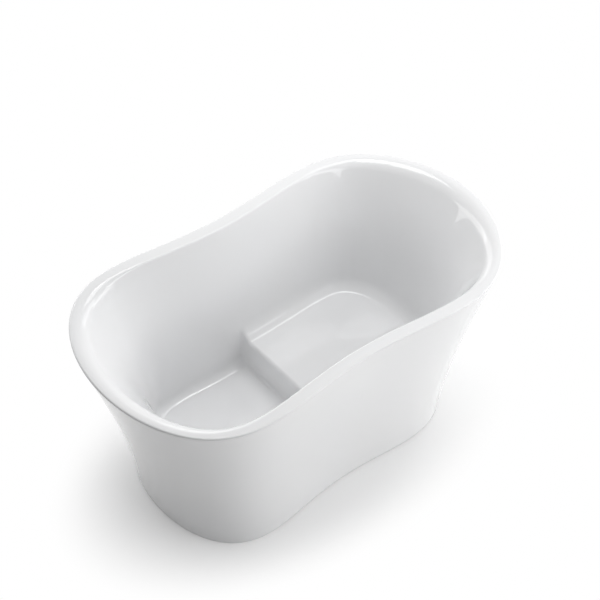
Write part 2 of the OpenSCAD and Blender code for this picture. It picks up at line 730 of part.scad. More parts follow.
// A foot: a pad with a chamfered edge, flats for the spanner and the stud
module levelling_foot(p) {
  flats_h = 8;
  flats_w = stud_d + 5;
  neck_r = stud_d / 2 + 6;
  edge = 1;
  color(rubber) translate([p[0], p[1], 0]) {
    rotate_extrude($fn = 48) polygon([[0, 0], [pad_d / 2 - edge, 0], [pad_d / 2, edge],
      [pad_d / 2, pad_h / 2], [neck_r, pad_h], [0, pad_h]]);
    translate([0, 0, pad_h]) cylinder(h = flats_h, d = flats_w / cos(30), $fn = 6);
    cylinder(h = stud_top, d = stud_d, $fn = 36);
  }
}
module levelling_foot_1() {
  levelling_foot(feet[0]);
}
module levelling_foot_2() {
  levelling_foot(feet[1]);
}
module levelling_foot_3() {
  levelling_foot(feet[2]);
}
module levelling_foot_4() {
  levelling_foot(feet[3]);
}
module levelling_foot_5() {
  levelling_foot(feet[4]);
}

// The blocks sit behind the skirt between two columns of points, where it runs straight
block_columns = [11, half_cols - 13];
block_screw_zs = [block_z + block_h * 0.3, block_z + block_h * 0.7];
function block_x(b) = (skirt_point(b, block_z, 0)[0] + skirt_point(b + 1, block_z, 0)[0]) / 2;
function block_face(b) =
  min(skirt_point(b, block_z, skirt_t)[1], skirt_point(b + 1, block_z, skirt_t)[1]) - bond_gap - block_t;
module skirt_block(b, s) {
  z1 = block_z + block_h;
  low = [for (j = [b, b + 1]) at(skirt_point(j, block_z, skirt_t + bond_gap), block_z)];
  high = [for (j = [b, b + 1]) at(skirt_point(j, z1, skirt_t + bond_gap), z1)];
  y = block_face(b);
  points = [[low[0][0], y, block_z], low[0], low[1], [low[1][0], y, block_z],
    [high[0][0], y, z1], high[0], high[1], [high[1][0], y, z1]];
  scale([1, s, 1])
    polyhedron(points,
      [[0, 1, 2, 3], [7, 6, 5, 4], [4, 5, 1, 0], [5, 6, 2, 1], [6, 7, 3, 2], [7, 4, 0, 3]]);
}
module drilled_block(b, s) {
  color(plywood) difference() {
    skirt_block(b, s);
    scale([1, s, 1]) for (z = block_screw_zs)
      translate([block_x(b), block_face(b), z]) rotate([-90, 0, 0]) screw_pilot();
  }
}
module skirt_block_1() {
  drilled_block(block_columns[0], -1);
}
module skirt_block_2() {
  drilled_block(block_columns[0], 1);
}
module skirt_block_3() {
  drilled_block(block_columns[1], -1);
}
module skirt_block_4() {
  drilled_block(block_columns[1], 1);
}

// Steel angles from under the rails to the blocks
module skirt_brackets() {
  color(galvanised) for (b = block_columns) for (s = [-1, 1]) scale([1, s, 1]) difference() {
    union() {
      translate([block_x(b) - bracket_w / 2, rail_y - tube_w / 2, frame_z - bracket_t])
        cube([bracket_w, block_face(b) - rail_y + tube_w / 2, bracket_t]);
      translate([block_x(b) - bracket_w / 2, block_face(b) - bracket_t, block_z])
        cube([bracket_w, bracket_t, frame_z - block_z]);
    }
    translate([block_x(b), rail_y, frame_z - bracket_t - 1])
      cylinder(h = bracket_t + 2, d = bolt_hole_d, $fn = 24);
    for (z = block_screw_zs)
      translate([block_x(b), block_face(b) - bracket_t - 1, z]) rotate([-90, 0, 0])
        cylinder(h = bracket_t + 2, d = screw_hole_d, $fn = 24);
  }
}

// A hexagon bolt and a pan head screw, head downwards at the origin
module hex_bolt(d, l) {
  head_h = 0.65 * d;
  translate([0, 0, -head_h]) cylinder(h = head_h, d = 1.9 * d, $fn = 6);
  cylinder(h = l, d = d, $fn = 24);
}
module pan_screw(d, l) {
  head_h = 0.6 * d;
  translate([0, 0, -head_h]) cylinder(h = head_h, d1 = 1.3 * d, d2 = 1.9 * d, $fn = 24);
  cylinder(h = l, d = d, $fn = 24);
}
module bracket_bolts() {
  bolt_end = 8;
  color(galvanised) for (b = block_columns) for (y = rail_ys)
    translate([block_x(b), y, frame_z - bracket_t]) hex_bolt(bolt_d, bracket_t + tube_t + bolt_end);
}
module bracket_screws() {
  color(galvanised) for (b = block_columns) for (s = [-1, 1]) scale([1, s, 1])
    for (z = block_screw_zs)
      translate([block_x(b), block_face(b) - bracket_t, z]) rotate([-90, 0, 0])
        pan_screw(screw_d, bracket_t + screw_bite);
}
module well_board_screws() {
  color(galvanised) for (p = well_screws) translate([p[0], p[1], frame_z])
    pan_screw(screw_d, tube_w + screw_bite);
}
module seat_board_screws() {
  color(galvanised) for (p = seat_screws) translate([p[0], p[1], seat_board_z - tube_w])
    pan_screw(screw_d, tube_w + screw_bite);
}

// The waste: a flange with a threaded body and, low in its bore, a cross that holds the cartridge
hub_d = cartridge_d + 7;
cross_h = 5;
cross_arm_w = 3;
cross_drop = 26;
cross_z = flange_z - cross_drop;
module waste_flange() {
  color(chrome) translate([drain_x, 0, 0]) difference() {
    union() {
      ring_at(body_end, body_l, body_d, body_bore_d);
      ring_at(flange_z, flange_t, flange_d, body_bore_d);
      intersection() {
        translate([0, 0, cross_z]) cylinder(h = cross_h, d = body_bore_d + 1, $fn = 48);
        union() {
          for (a = [0, 90]) rotate([0, 0, a])
            translate([-body_d / 2, -cross_arm_w / 2, cross_z]) cube([body_d, cross_arm_w, cross_h]);
          translate([0, 0, cross_z]) cylinder(h = cross_h, d = hub_d, $fn = 36);
        }
      }
    }
    translate([0, 0, cross_z - 1]) cylinder(h = cross_h + 2, d = cartridge_d + 2 * bond_gap, $fn = 36);
  }
}
module waste_flange_seal() {
  color(rubber) translate([drain_x, 0, 0])
    ring_at(well_z - sump_depth, flange_seal_t, flange_d - 2, body_hole_d);
}
module waste_washer() {
  color(rubber) translate([drain_x, 0, 0])
    ring_at(well_z - basin_t - washer_t, washer_t, washer_d, body_hole_d);
}
module waste_backnut() {
  color(chrome) translate([drain_x, 0, 0])
    nut_at(well_z - basin_t - washer_t - backnut_h, backnut_h, backnut_w, body_hole_d);
}

// The click stopper, drawn closed
stopper_seal_t = 2;
cap_z = flange_z + flange_t + running_gap + stopper_seal_t;
module stopper_cap() {
  r = cap_d / 2;
  color(chrome) translate([drain_x, 0, cap_z]) rotate_extrude($fn = 64)
    polygon([[0, 0], [r - 1, 0], [r, 1], [r, cap_h * 0.35], [r * 0.9, cap_h * 0.62],
      [r * 0.6, cap_h * 0.88], [r * 0.3, cap_h * 0.97], [0, cap_h]]);
}
module stopper_seal() {
  color(rubber) translate([drain_x, 0, 0])
    ring_at(cap_z - stopper_seal_t, stopper_seal_t, body_bore_d + 12, body_bore_d - 4);
}
module stopper_stem() {
  color(chrome) translate([drain_x, 0, cap_z - stem_l]) cylinder(h = stem_l, d = stem_d, $fn = 36);
}
// The cartridge's shoulder rests on the cross, its bore takes the stem
module stopper_cartridge() {
  shoulder_h = 4;
  bottom_t = 3;
  top = cross_z + cross_h + shoulder_h;
  color(abs_white) translate([drain_x, 0, 0]) difference() {
    union() {
      translate([0, 0, top - cartridge_l]) cylinder(h = cartridge_l, d = cartridge_d, $fn = 36);
      translate([0, 0, cross_z + cross_h]) cylinder(h = shoulder_h, d = cartridge_d + 5, $fn = 36);
    }
    translate([0, 0, top - cartridge_l + bottom_t])
      cylinder(h = cartridge_l, d = stem_d + 2 * running_gap, $fn = 36);
  }
}

module drain_tee() {
  color(abs_white) translate([drain_x, 0, 0]) difference() {
    union() {
      translate([0, 0, collar_z]) cylinder(h = collar_h, d = collar_d, $fn = 48);
      translate([0, 0, tee_body_top - 1]) cylinder(h = collar_z - tee_body_top + 2, d = neck_d, $fn = 48);
      translate([0, 0, tee_z]) cylinder(h = tee_body_top - tee_z, d = tee_d, $fn = 48);
      translate([0, 0, branch_z]) rotate([90, 0, 0]) cylinder(h = branch_l, d = branch_d, $fn = 48);
    }
    translate([0, 0, tee_z - 1]) cylinder(h = tee_top - tee_z + 2, d = tee_bore_d, $fn = 48);
    translate([0, 0, tee_z - 1]) cylinder(h = socket_l + 1, d = spigot_hole_d, $fn = 48);
    translate([0, 0, branch_z]) rotate([90, 0, 0])
      cylinder(h = branch_l + 1, d = overflow_pipe_d - 2 * pipe_t, $fn = 48);
    translate([0, -branch_l - 1, branch_z]) rotate([-90, 0, 0])
      cylinder(h = branch_socket_l + 1, d = overflow_pipe_hole_d, $fn = 48);
  }
}
module tee_seal() {
  color(rubber) translate([drain_x, 0, 0]) ring_at(tee_top, tee_seal_t, collar_d, tee_bore_d + 2);
}

// The union nut hooks under the tee's collar and screws on to the waste's body
nut_floor = 4;
union_nut_h = 22;
module tee_union_nut() {
  color(abs_white) translate([drain_x, 0, 0]) difference() {
    nut_at(collar_z - nut_floor, union_nut_h, body_d + 10, neck_d + 2 * bond_gap, 8);
    translate([0, 0, collar_z]) cylinder(h = union_nut_h, d = body_hole_d, $fn = 48);
  }
}
// The outlet pipe is full width where a drain connector grips it, and a little less up to the tee
module outlet_pipe() {
  pipe_bore = outlet_d - 2 * pipe_t;
  color(abs_white) translate([drain_x, 0, 0]) union() {
    ring_at(outlet_gap, outlet_grip, outlet_d, pipe_bore);
    ring_at(outlet_gap, tee_z + socket_l - bond_gap - outlet_gap, spigot_d, pipe_bore);
  }
}
outlet_nut_h = 18;
outlet_nut_z = tee_z - outlet_nut_h / 2;
module outlet_seal() {
  seal_z = outlet_nut_z + nut_floor;
  color(rubber) translate([drain_x, 0, 0]) ring_at(seal_z, tee_z - seal_z, tee_d - 1, spigot_hole_d);
}
module outlet_nut() {
  color(abs_white) translate([drain_x, 0, 0]) difference() {
    nut_at(outlet_nut_z, outlet_nut_h, tee_d + 8, spigot_hole_d, 8);
    translate([0, 0, outlet_nut_z + nut_floor]) cylinder(h = outlet_nut_h, d = thread_d, $fn = 48);
  }
}

// The cover is a dished disc with a skirt, open at the bottom, and a countersunk hole
countersink_h = 2;
module overflow_cover() {
  r = cover_d / 2;
  wall = 3;
  inside = cover_h - 4;
  hole_r = screw_hole_d / 2;
  slot_w = r * 1.1;
  color(chrome) at_overflow() difference() {
    rotate_extrude($fn = 64) polygon([[hole_r, inside], [r - wall, inside], [r - wall, -inner_land],
      [r, -inner_land], [r, cover_h - 3], [r - 1, cover_h - 1.2], [r - 4, cover_h],
      [screw_d + 1, cover_h], [hole_r, cover_h - countersink_h]]);
    translate([-slot_w / 2, r - 10, -inner_land - 1]) cube([slot_w, 20, cover_h - 3]);
  }
}
// The screw pulls the cover against the elbow's hub
module overflow_screw() {
  tip = -seal_back - 12;
  head_z = cover_h - countersink_h + screw_gap;
  color(chrome) at_overflow() {
    translate([0, 0, tip]) cylinder(h = cover_h - 1.5 - tip, d = screw_d, $fn = 24);
    translate([0, 0, head_z])
      cylinder(h = countersink_h, d1 = screw_d, d2 = 2 * screw_d + 1, $fn = 24);
  }
}
module overflow_seal() {
  color(rubber) at_overflow()
    ring_at(-seal_back, overflow_seal_t, overflow_bore_d + 12, overflow_bore_d);
}

// The elbow: a flange, a chamber, a stub that points down the wall and a hub on a bar for the screw
module overflow_elbow() {
  flange_h = 4;
  hub_l = 14;
  hub_top_gap = 2;
  bar_w = 5;
  bar_h = 6;
  chamber_end = -seal_back - chamber_l;
  hub_end = -seal_back - hub_l;
  color(abs_white) at_overflow() difference() {
    union() {
      difference() {
        union() {
          translate([0, 0, -seal_back - flange_h])
            cylinder(h = flange_h, d = overflow_bore_d + 12, $fn = 48);
          translate([0, 0, chamber_end]) cylinder(h = chamber_l, d = elbow_d, $fn = 48);
          translate([0, 0, stub_z]) rotate([-90, 0, 0]) cylinder(h = stub_l, d = branch_d, $fn = 48);
        }
        translate([0, 0, chamber_end + chamber_wall])
          cylinder(h = chamber_l, d = elbow_d - 2 * chamber_wall, $fn = 48);
      }
      translate([-elbow_d / 2 + 1, -bar_w / 2, hub_end]) cube([elbow_d - 2, bar_w, bar_h]);
      translate([0, 0, hub_end]) cylinder(h = hub_l - hub_top_gap, d = 12, $fn = 36);
    }
    translate([0, 0, hub_end - 1]) cylinder(h = hub_l + 2, d = screw_hole_d, $fn = 24);
    translate([0, 0, stub_z]) rotate([-90, 0, 0])
      cylinder(h = stub_l + 1, d = overflow_pipe_d - 2 * pipe_t, $fn = 48);
    translate([0, pipe_in - bond_gap, stub_z]) rotate([-90, 0, 0])
      cylinder(h = stub_l, d = overflow_pipe_hole_d, $fn = 48);
  }
}
module overflow_pipe() {
  color(abs_white) pipe_along(pipe_stations(), overflow_pipe_d, pipe_t);
}

// A slip nut on the end of a branch: it screws over the branch and squeezes a seal on to the pipe
slip_l = 18;
slip_seal_h = 5;
module slip_nut() {
  difference() {
    rotate([0, 0, 22.5]) nut_at(-slip_l / 2, slip_l, branch_d + 8, overflow_pipe_hole_d, 8);
    translate([0, 0, -slip_l])
      cylinder(h = slip_l + slip_seal_h, d = branch_d + 2 * running_gap, $fn = 48);
  }
}
module slip_seal() {
  ring_at(0, slip_seal_h, branch_d - 0.5, overflow_pipe_hole_d);
}
module at_upper_slip() {
  at_overflow() translate([0, stub_l, stub_z]) rotate([-90, 0, 0]) children();
}
module at_lower_slip() {
  translate([drain_x, -branch_l, branch_z]) rotate([90, 0, 0]) children();
}
module overflow_pipe_seals() {
  color(rubber) {
    at_upper_slip() slip_seal();
    at_lower_slip() slip_seal();
  }
}
module overflow_nut_upper() {
  color(abs_white) at_upper_slip() slip_nut();
}
module overflow_nut_lower() {
  color(abs_white) at_lower_slip() slip_nut();
}

basin();
skirt();
rim_bond_bead();
well_board();
seat_board();
frame_rail_near();
frame_rail_far();
frame_crossbar_foot();
frame_crossbar_middle();
frame_crossbar_head();
seat_trestle_front();
seat_trestle_back();
frame_end_caps();
foot_bosses();
levelling_foot_1();
levelling_foot_2();
levelling_foot_3();
levelling_foot_4();
levelling_foot_5();
foot_lock_nuts();
skirt_block_1();
skirt_block_2();
skirt_block_3();
skirt_block_4();
skirt_brackets();
bracket_bolts();
bracket_screws();
well_board_screws();
seat_board_screws();
waste_flange();
waste_flange_seal();
waste_washer();
waste_backnut();
stopper_cap();
stopper_seal();
stopper_stem();
stopper_cartridge();
drain_tee();
tee_seal();
tee_union_nut();
outlet_pipe();
outlet_seal();
outlet_nut();
overflow_cover();
overflow_screw();
overflow_seal();
overflow_elbow();
overflow_pipe();
overflow_pipe_seals();
overflow_nut_upper();
overflow_nut_lower();
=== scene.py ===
import math

import bmesh
import bpy
import numpy as np
from mathutils import Matrix, Vector


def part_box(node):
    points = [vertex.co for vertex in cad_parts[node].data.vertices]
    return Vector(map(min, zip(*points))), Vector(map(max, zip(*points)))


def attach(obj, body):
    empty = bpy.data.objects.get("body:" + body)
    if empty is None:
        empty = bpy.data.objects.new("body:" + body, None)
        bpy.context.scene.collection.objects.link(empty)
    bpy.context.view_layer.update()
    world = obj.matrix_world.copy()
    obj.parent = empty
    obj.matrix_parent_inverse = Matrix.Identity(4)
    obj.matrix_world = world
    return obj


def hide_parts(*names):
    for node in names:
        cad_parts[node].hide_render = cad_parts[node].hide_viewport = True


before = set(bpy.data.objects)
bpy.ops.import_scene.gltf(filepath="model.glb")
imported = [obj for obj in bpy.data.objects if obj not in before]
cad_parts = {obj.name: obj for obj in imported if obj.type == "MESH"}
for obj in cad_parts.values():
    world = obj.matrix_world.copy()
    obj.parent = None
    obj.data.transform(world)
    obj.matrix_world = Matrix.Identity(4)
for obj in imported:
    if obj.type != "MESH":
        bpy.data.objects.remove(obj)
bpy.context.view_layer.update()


# Basin
# The bath itself, with its flat rim, the seat at the +X end and the foot well at the -X end.
# One acrylic sheet drawn over a mould and stiffened behind with laminate, 8 mm thick in all.
# The rim turns down over the skirt and is bonded to it.

MM = 0.001


def outline(length, waist, seat_lobe, seat_shoulder, foot_lobe, foot_shoulder):
    """Half the length and the width factors of a waisted oval, from its widths in mm."""
    half = waist / 2
    seat_1 = seat_lobe / (2 * math.sqrt(0.75)) - half
    seat_2 = seat_shoulder / 1.2 - half
    foot_1 = foot_lobe / (2 * math.sqrt(0.75)) - half
    foot_2 = foot_shoulder / 1.2 - half
    even_1 = (seat_1 + foot_1) / 2 / 0.25
    even_2 = (seat_2 + foot_2) / 2 / 0.64
    odd_1 = (seat_1 - foot_1) / 2 / 0.5
    odd_2 = (seat_2 - foot_2) / 2 / 0.8
    k4 = (even_2 - even_1) / 0.39
    k3 = (odd_2 - odd_1) / 0.39
    return length / 2, np.array([half, odd_1 - k3 * 0.25, even_1 - k4 * 0.25, k3, k4])


def on_outline(shape, x):
    """Points of the far half of an outline at places x, and their outward normals."""
    a, k = shape
    u = np.clip(x / a, -1, 1)
    s = np.sqrt(1 - u * u)
    width = k[0] + u * (k[1] + u * (k[2] + u * (k[3] + u * k[4])))
    slope = k[1] + u * (2 * k[2] + u * (3 * k[3] + u * 4 * k[4]))
    n = np.stack([u * width - s * s * slope, a * s], -1)
    return np.stack([a * u, s * width], -1), n / np.linalg.norm(n, axis=-1, keepdims=True)


RIM = outline(1300, 686, 731, 586, 735, 630)
BASE = outline(990, 482, 506, 420, 536, 478)
BATH = outline(836, 428, 440, 416, 440, 416)
RIM_Z, RIM_BAND, OUTER_ROUND, LIP_Z = 616, 39, 5, 592
LIP_ROWS = (LIP_Z, 594, 598, 603, 608)
ROLL_WAIST, ROLL_END, ROLL_FROM, ROLL_TO = 5, 32, 0.35, 0.95
SHELL, BASIN_WALL, FLARE = 6, 8, 1.39
WELL_Z, SEAT_Z = 134, 234
STEP_X, STEP_EDGE, STEP_FOOT, STEP_LEAN = -16, 12, 10, math.radians(2)
SEAT_FILLET, WELL_FILLET, STEP_CORNER = 40, 25, 12
CREASE_TURN, CREASE_R, STRIP_TURN, STRIP_W = math.radians(26), 3.5, math.radians(16), 4.5
RISER_MIDDLE, CORNER_REACH, CORNER_FADE = STEP_X - 6, 14, 90
END_COLUMNS, TURN_COLUMNS, RISER_COLUMNS = 60, 9, 7
ROLL_ROWS, WALL_ROWS, FILLET_ROWS, FLOOR_COLUMNS = 16, 44, 14, 24
BACK_WALL_ROWS, BACK_FILLET_ROWS, BACK_FLOOR_COLUMNS = 14, 6, 8


def step_profile(inside):
    """The step seen from the side, from the seat's edge down to the foot well, in mm."""
    turn = math.pi / 2 - STEP_LEAN
    down = np.linspace(0, turn, TURN_COLUMNS)
    top = np.stack([STEP_X + STEP_EDGE - (STEP_EDGE - inside) * np.sin(down),
                    SEAT_Z - STEP_EDGE + (STEP_EDGE - inside) * np.cos(down)], -1)
    foot_x = STEP_X - (SEAT_Z - WELL_Z) * math.tan(STEP_LEAN) - STEP_FOOT
    level = down[::-1]
    low = np.stack([foot_x + (STEP_FOOT + inside) * np.sin(level),
                    WELL_Z + STEP_FOOT - (STEP_FOOT + inside) * np.cos(level)], -1)
    share = np.linspace(0, 1, RISER_COLUMNS + 2)[1:-1, None]
    return np.concatenate([top, top[-1] + (low[0] - top[-1]) * share, low])


def columns(half_length, inside=0.0):
    """Places along the tub of all columns of points, from the seat's end to the foot end."""
    step = step_profile(inside)[:, 0]
    seat = step[0] + (half_length - step[0]) * np.cos(np.linspace(0, math.pi / 2, END_COLUMNS + 1))
    foot = step[-1] - (half_length + step[-1]) * np.sin(np.linspace(0, math.pi / 2, END_COLUMNS + 1))
    return np.concatenate([seat[:-1], step, foot[1:]])


STEPS = len(step_profile(0))
HALF = 2 * END_COLUMNS + STEPS - 1
on_step = np.zeros(HALF + 1, bool)
on_step[END_COLUMNS:END_COLUMNS + STEPS] = True


def floor_height(inside):
    z = np.full(HALF + 1, WELL_Z - inside, float)
    z[:END_COLUMNS] = SEAT_Z - inside
    z[on_step] = step_profile(inside)[:, 1]
    return z


fillet = WELL_FILLET + (SEAT_FILLET - WELL_FILLET) * (floor_height(0) - WELL_Z) / (SEAT_Z - WELL_Z)

# Near the step the columns lean towards the foot end as they meet the wall, which rounds the
# upright corner between step and wall.
away = np.abs(columns(BATH[0]) - RISER_MIDDLE)
corner_pull = np.clip(1 - np.clip(away - CORNER_REACH, 0, None) / CORNER_FADE, 0, 1)
corner_pull = corner_pull * corner_pull * (3 - 2 * corner_pull)


def corner_shift(gap):
    near = np.clip(STEP_CORNER - gap, 0, STEP_CORNER)
    return corner_pull * (STEP_CORNER - np.sqrt(np.maximum(STEP_CORNER ** 2 - near ** 2, 0)))


def wall_ends(gap, outward):
    """The wall's foot and its corner with the rim, and the normals there, for every column."""
    shift = corner_shift(gap)
    foot, n_foot = on_outline(BATH, columns(BATH[0], outward) - shift)
    edge, n_edge = on_outline(RIM, columns(RIM[0], outward) - shift)
    n_foot[on_step] = (0, 1)
    return foot + n_foot * outward, edge - n_edge * (RIM_BAND - outward), n_foot, n_edge


def wall(z, gap=0.0, outward=0.0):
    """The bath's wall at height z, moved outward, with its normal and its lean from upright."""
    foot, corner, n_foot, _ = wall_ends(np.broadcast_to(gap, (HALF + 1,)), outward)
    up = np.broadcast_to(np.maximum(z - WELL_Z, 0) / (RIM_Z - WELL_Z), (HALF + 1,))
    lean = np.arctan(np.sum((corner - foot) * n_foot, -1) * 2 * up / (RIM_Z - WELL_Z))
    return foot + (corner - foot) * (up * up)[:, None], n_foot, lean


def skirt_line(z, inside=0.0):
    """The skirt's outline at height z, as points of the far half."""
    low, n_low = on_outline(BASE, columns(BASE[0]))
    high, n_high = on_outline(RIM, columns(RIM[0]))
    w = (z / (RIM_Z - OUTER_ROUND)) ** FLARE
    n = n_low * (1 - w) + n_high * w
    n /= np.linalg.norm(n, axis=-1, keepdims=True)
    return low + (high - low) * w - n * inside


def level(points, z):
    z = np.broadcast_to(z, (len(points),))
    return np.concatenate([points, np.asarray(z, float)[:, None]], -1)


def roll(steps):
    """Rows where the rim rolls into the wall, on the shell's face and on its back."""
    foot, corner, _, n_edge = wall_ends(np.zeros(HALF + 1), 0)
    u = np.clip((np.abs(columns(RIM[0])) / RIM[0] - ROLL_FROM) / (ROLL_TO - ROLL_FROM), 0, 1)
    reach = ROLL_WAIST + (ROLL_END - ROLL_WAIST) * u * u * (3 - 2 * u)
    run = (corner - foot) * 2 / (RIM_Z - WELL_Z)
    low_z = RIM_Z - reach / np.sqrt(1 + np.sum(run * run, -1))
    up = (low_z - WELL_Z) / (RIM_Z - WELL_Z)
    run *= up[:, None]
    low = level(foot + (corner - foot) * (up * up)[:, None], low_z)
    middle = low + level(run, 1) * (RIM_Z - low_z)[:, None]
    reach = np.linalg.norm(middle - low, axis=-1)[:, None]
    high = middle + level(n_edge, 0) * reach
    turn = (math.pi / 2 - np.arctan(np.linalg.norm(run, axis=-1)))[:, None]
    grip = 4 / 3 * np.tan(turn / 4) / np.tan(turn / 2)
    radius = reach / np.tan(turn / 2)
    centre = high - np.concatenate([np.zeros((HALF + 1, 2)), radius], -1)
    face = []
    for i in range(steps + 1):
        t = i / steps
        face.append(high * (1 - t) ** 3 + (high + (middle - high) * grip) * 3 * t * (1 - t) ** 2
                    + (low + (middle - low) * grip) * 3 * t * t * (1 - t) + low * t ** 3)
    back = [centre + (r - centre) * np.maximum(1, radius - BASIN_WALL) / radius for r in face]
    return face, back, low_z


def inner_side(start, outward, wall_rows, fillet_rows, creased=False):
    """Rows from the roll's lower edge down the wall to the edge of the flat bottom.

    A creased fillet stops short of level, and a narrow sloping strip between two tight rounds
    leads from it to the flat.
    """
    lean = wall(floor_height(0) + fillet)[2]
    ends = [(0, 0, math.pi / 2)]
    if creased:
        slope, strip = math.pi / 2 - CREASE_TURN, math.pi / 2 - STRIP_TURN
        ends = []
        for a in np.linspace(math.pi / 2, strip, 4):
            ends.append((CREASE_R * math.cos(a), CREASE_R * (1 - math.sin(a)), a))
        gap, z = ends[-1][0] + STRIP_W * math.sin(strip), ends[-1][1] + STRIP_W * math.cos(strip)
        for a in np.linspace(strip, slope, 3):
            ends.append((gap + CREASE_R * (math.cos(a) - math.cos(strip)),
                         z + CREASE_R * (math.sin(strip) - math.sin(a)), a))
    last_gap, last_z, last_turn = ends[-1]
    r = ((fillet + outward) * np.cos(lean) - last_gap) / (np.cos(lean) - math.cos(last_turn))
    z_fillet = floor_height(outward) + last_z + r * (math.sin(last_turn) - np.sin(lean))
    whole_gap = r * (np.cos(lean) - math.cos(last_turn)) + last_gap
    rows = []
    for i in range(1, wall_rows + 1):
        z = start + (z_fillet - start) * (i / wall_rows)
        rows.append(level(wall(z, 0, outward)[0], z))
    steps = []
    for i in range(1, fillet_rows + 1):
        a = lean + (last_turn - lean) * (i / fillet_rows)
        steps.append((r * (np.cos(lean) - np.cos(a)), z_fillet - r * (np.sin(a) - np.sin(lean))))
    for gap, z, _ in ends[-2::-1]:
        steps.append((whole_gap - gap, floor_height(outward) + z))
    for gap, z in steps:
        place, n, _ = wall(z_fillet, gap, outward)
        rows.append(level(place - n * gap[:, None], z))
    return rows


def full_ring(row):
    near = row[-2:0:-1] * (1, -1, 1)
    return np.concatenate([row, near])


RING = 2 * HALF


def band(first, second, count=RING):
    k = np.arange(count)
    m = (k + 1) % count
    return np.stack([first + k, first + m, second + m, second + k], -1).tolist()


def joined(count, size, loop=False):
    """Faces that join rings of points in turn, back to the first or with both ends closed."""
    faces = []
    for i in range(count - 1):
        faces += band(i * size, (i + 1) * size, size)
    if loop:
        return faces + band((count - 1) * size, 0, size)
    return faces + [list(range(size)), list(range((count - 1) * size, count * size))]


def piece(name, points, faces, material, sharp=35):
    """A mesh in metres from points in mm, with smooth faces and crisp edges kept."""
    mesh = bpy.data.meshes.new(name)
    mesh.from_pydata((np.asarray(points, float) * MM).tolist(), [], faces)
    work = bmesh.new()
    work.from_mesh(mesh)
    bmesh.ops.remove_doubles(work, verts=work.verts, dist=1e-7)
    bmesh.ops.recalc_face_normals(work, faces=work.faces)
    work.to_mesh(mesh)
    work.free()
    mesh.shade_smooth()
    if sharp < 180:
        mesh.set_sharp_from_angle(angle=math.radians(sharp))
    obj = bpy.data.objects.new(name, mesh)
    bpy.context.scene.collection.objects.link(obj)
    mesh.materials.append(material)
    return obj


def flat_bottom(first, row, across):
    """Points and faces straight across the tub, inside a ring that starts at index first."""
    points, faces = [], []
    inner = across - 1
    base = first + RING

    def at(j, i):
        if i == 0 or j in (0, HALF):
            return first + j
        if i == across:
            return first + RING - j
        return base + (j - 1) * inner + i - 1

    for j in range(1, HALF):
        for i in range(1, across):
            share = i / across
            points.append((row[j][0], row[j][1] * (1 - 2 * share), row[j][2]))
    for j in range(HALF):
        for i in range(across):
            corners = [at(j, i), at(j + 1, i), at(j + 1, i + 1), at(j, i + 1)]
            unique = list(dict.fromkeys(corners))
            if len(unique) > 2:
                faces.append(unique)
    return points, faces


def feed(tree, target, inputs):
    """Sets a node's inputs: a plain value goes on the socket and another node's output is linked."""
    for key, value in inputs.items():
        if isinstance(value, bpy.types.NodeSocket):
            tree.links.new(value, target.inputs[key])
        else:
            target.inputs[key].default_value = value


def add_node(tree, kind, inputs, **settings):
    made = tree.nodes.new("ShaderNode" + kind)
    for key, value in settings.items():
        setattr(made, key, value)
    feed(tree, made, inputs)
    return made


def new_finish(name):
    """A material, its node tree and the output that gives the place on the piece."""
    m = bpy.data.materials.new(name)
    m.use_nodes = True
    return m, m.node_tree, add_node(m.node_tree, "TexCoord", {}).outputs["Object"]


def noise(tree, where, scale, detail):
    made = add_node(tree, "TexNoise", {"Vector": where, "Scale": scale, "Detail": detail})
    return made.outputs["Fac"]


def tones(tree, pattern, first, second):
    """A pattern's tone, between two stops of a place and a colour each."""
    ramp = add_node(tree, "ValToRGB", {"Fac": pattern})
    for stop, (place, tone) in zip(ramp.color_ramp.elements, (first, second)):
        stop.position = place
        stop.color = (*tone, 1)
    return ramp.outputs["Color"]


def gloss(tree, pattern, roughness, spread):
    """Roughness that strays from its middle value by a share of it."""
    made = add_node(tree, "MapRange", {"Value": pattern, "To Min": roughness * (1 - spread),
                                       "To Max": roughness * (1 + spread)})
    return made.outputs["Result"]


def relief(tree, pattern, strength, depth):
    made = add_node(tree, "Bump", {"Height": pattern, "Strength": strength, "Distance": depth})
    return made.outputs["Normal"]


def acrylic(name, tint, roughness):
    """Sanitary acrylic: a hard gloss surface over white, with the faint wave of a drawn sheet."""
    m, tree, where = new_finish(name)
    broad = noise(tree, where, 3.0, 2.0)
    shade = (tint[0] * 0.99, tint[1] * 0.992, tint[2] * 0.996)
    feed(tree, tree.nodes["Principled BSDF"], {
        "IOR": 1.49,
        "Base Color": tones(tree, broad, (0.35, shade), (0.65, tint)),
        "Roughness": gloss(tree, broad, roughness, 0.15),
        "Normal": relief(tree, noise(tree, where, 14.0, 1.0), 0.03, 0.002)})
    return m


white_acrylic = acrylic("white_acrylic", (0.86, 0.862, 0.866), 0.05)

rows = [level(skirt_line(z), z) for z in LIP_ROWS]
rim_edge, rim_normal = on_outline(RIM, columns(RIM[0]))
for a in np.linspace(0, math.pi / 2, 11):
    rows.append(level(rim_edge - rim_normal * OUTER_ROUND * (1 - math.cos(a)),
                      RIM_Z - OUTER_ROUND + OUTER_ROUND * math.sin(a)))
roll_face, roll_back, roll_low = roll(ROLL_ROWS)
flat_start = rows[-1]
for share in (0.08, 0.36, 0.64, 0.92):
    rows.append(flat_start + (roll_face[0] - flat_start) * share)
rows += roll_face
rows += inner_side(roll_low, 0.0, WALL_ROWS, FILLET_ROWS, True)
face_count = len(rows)
face_bottom = rows[-1]
rows_back = [level(skirt_line(z, SHELL), z) for z in (LIP_ROWS[0], LIP_ROWS[-1])]
rows_back += roll_back[::4] + inner_side(roll_low, BASIN_WALL, BACK_WALL_ROWS, BACK_FILLET_ROWS)
rings = [full_ring(r) for r in rows]
points = np.concatenate(rings)
faces = []
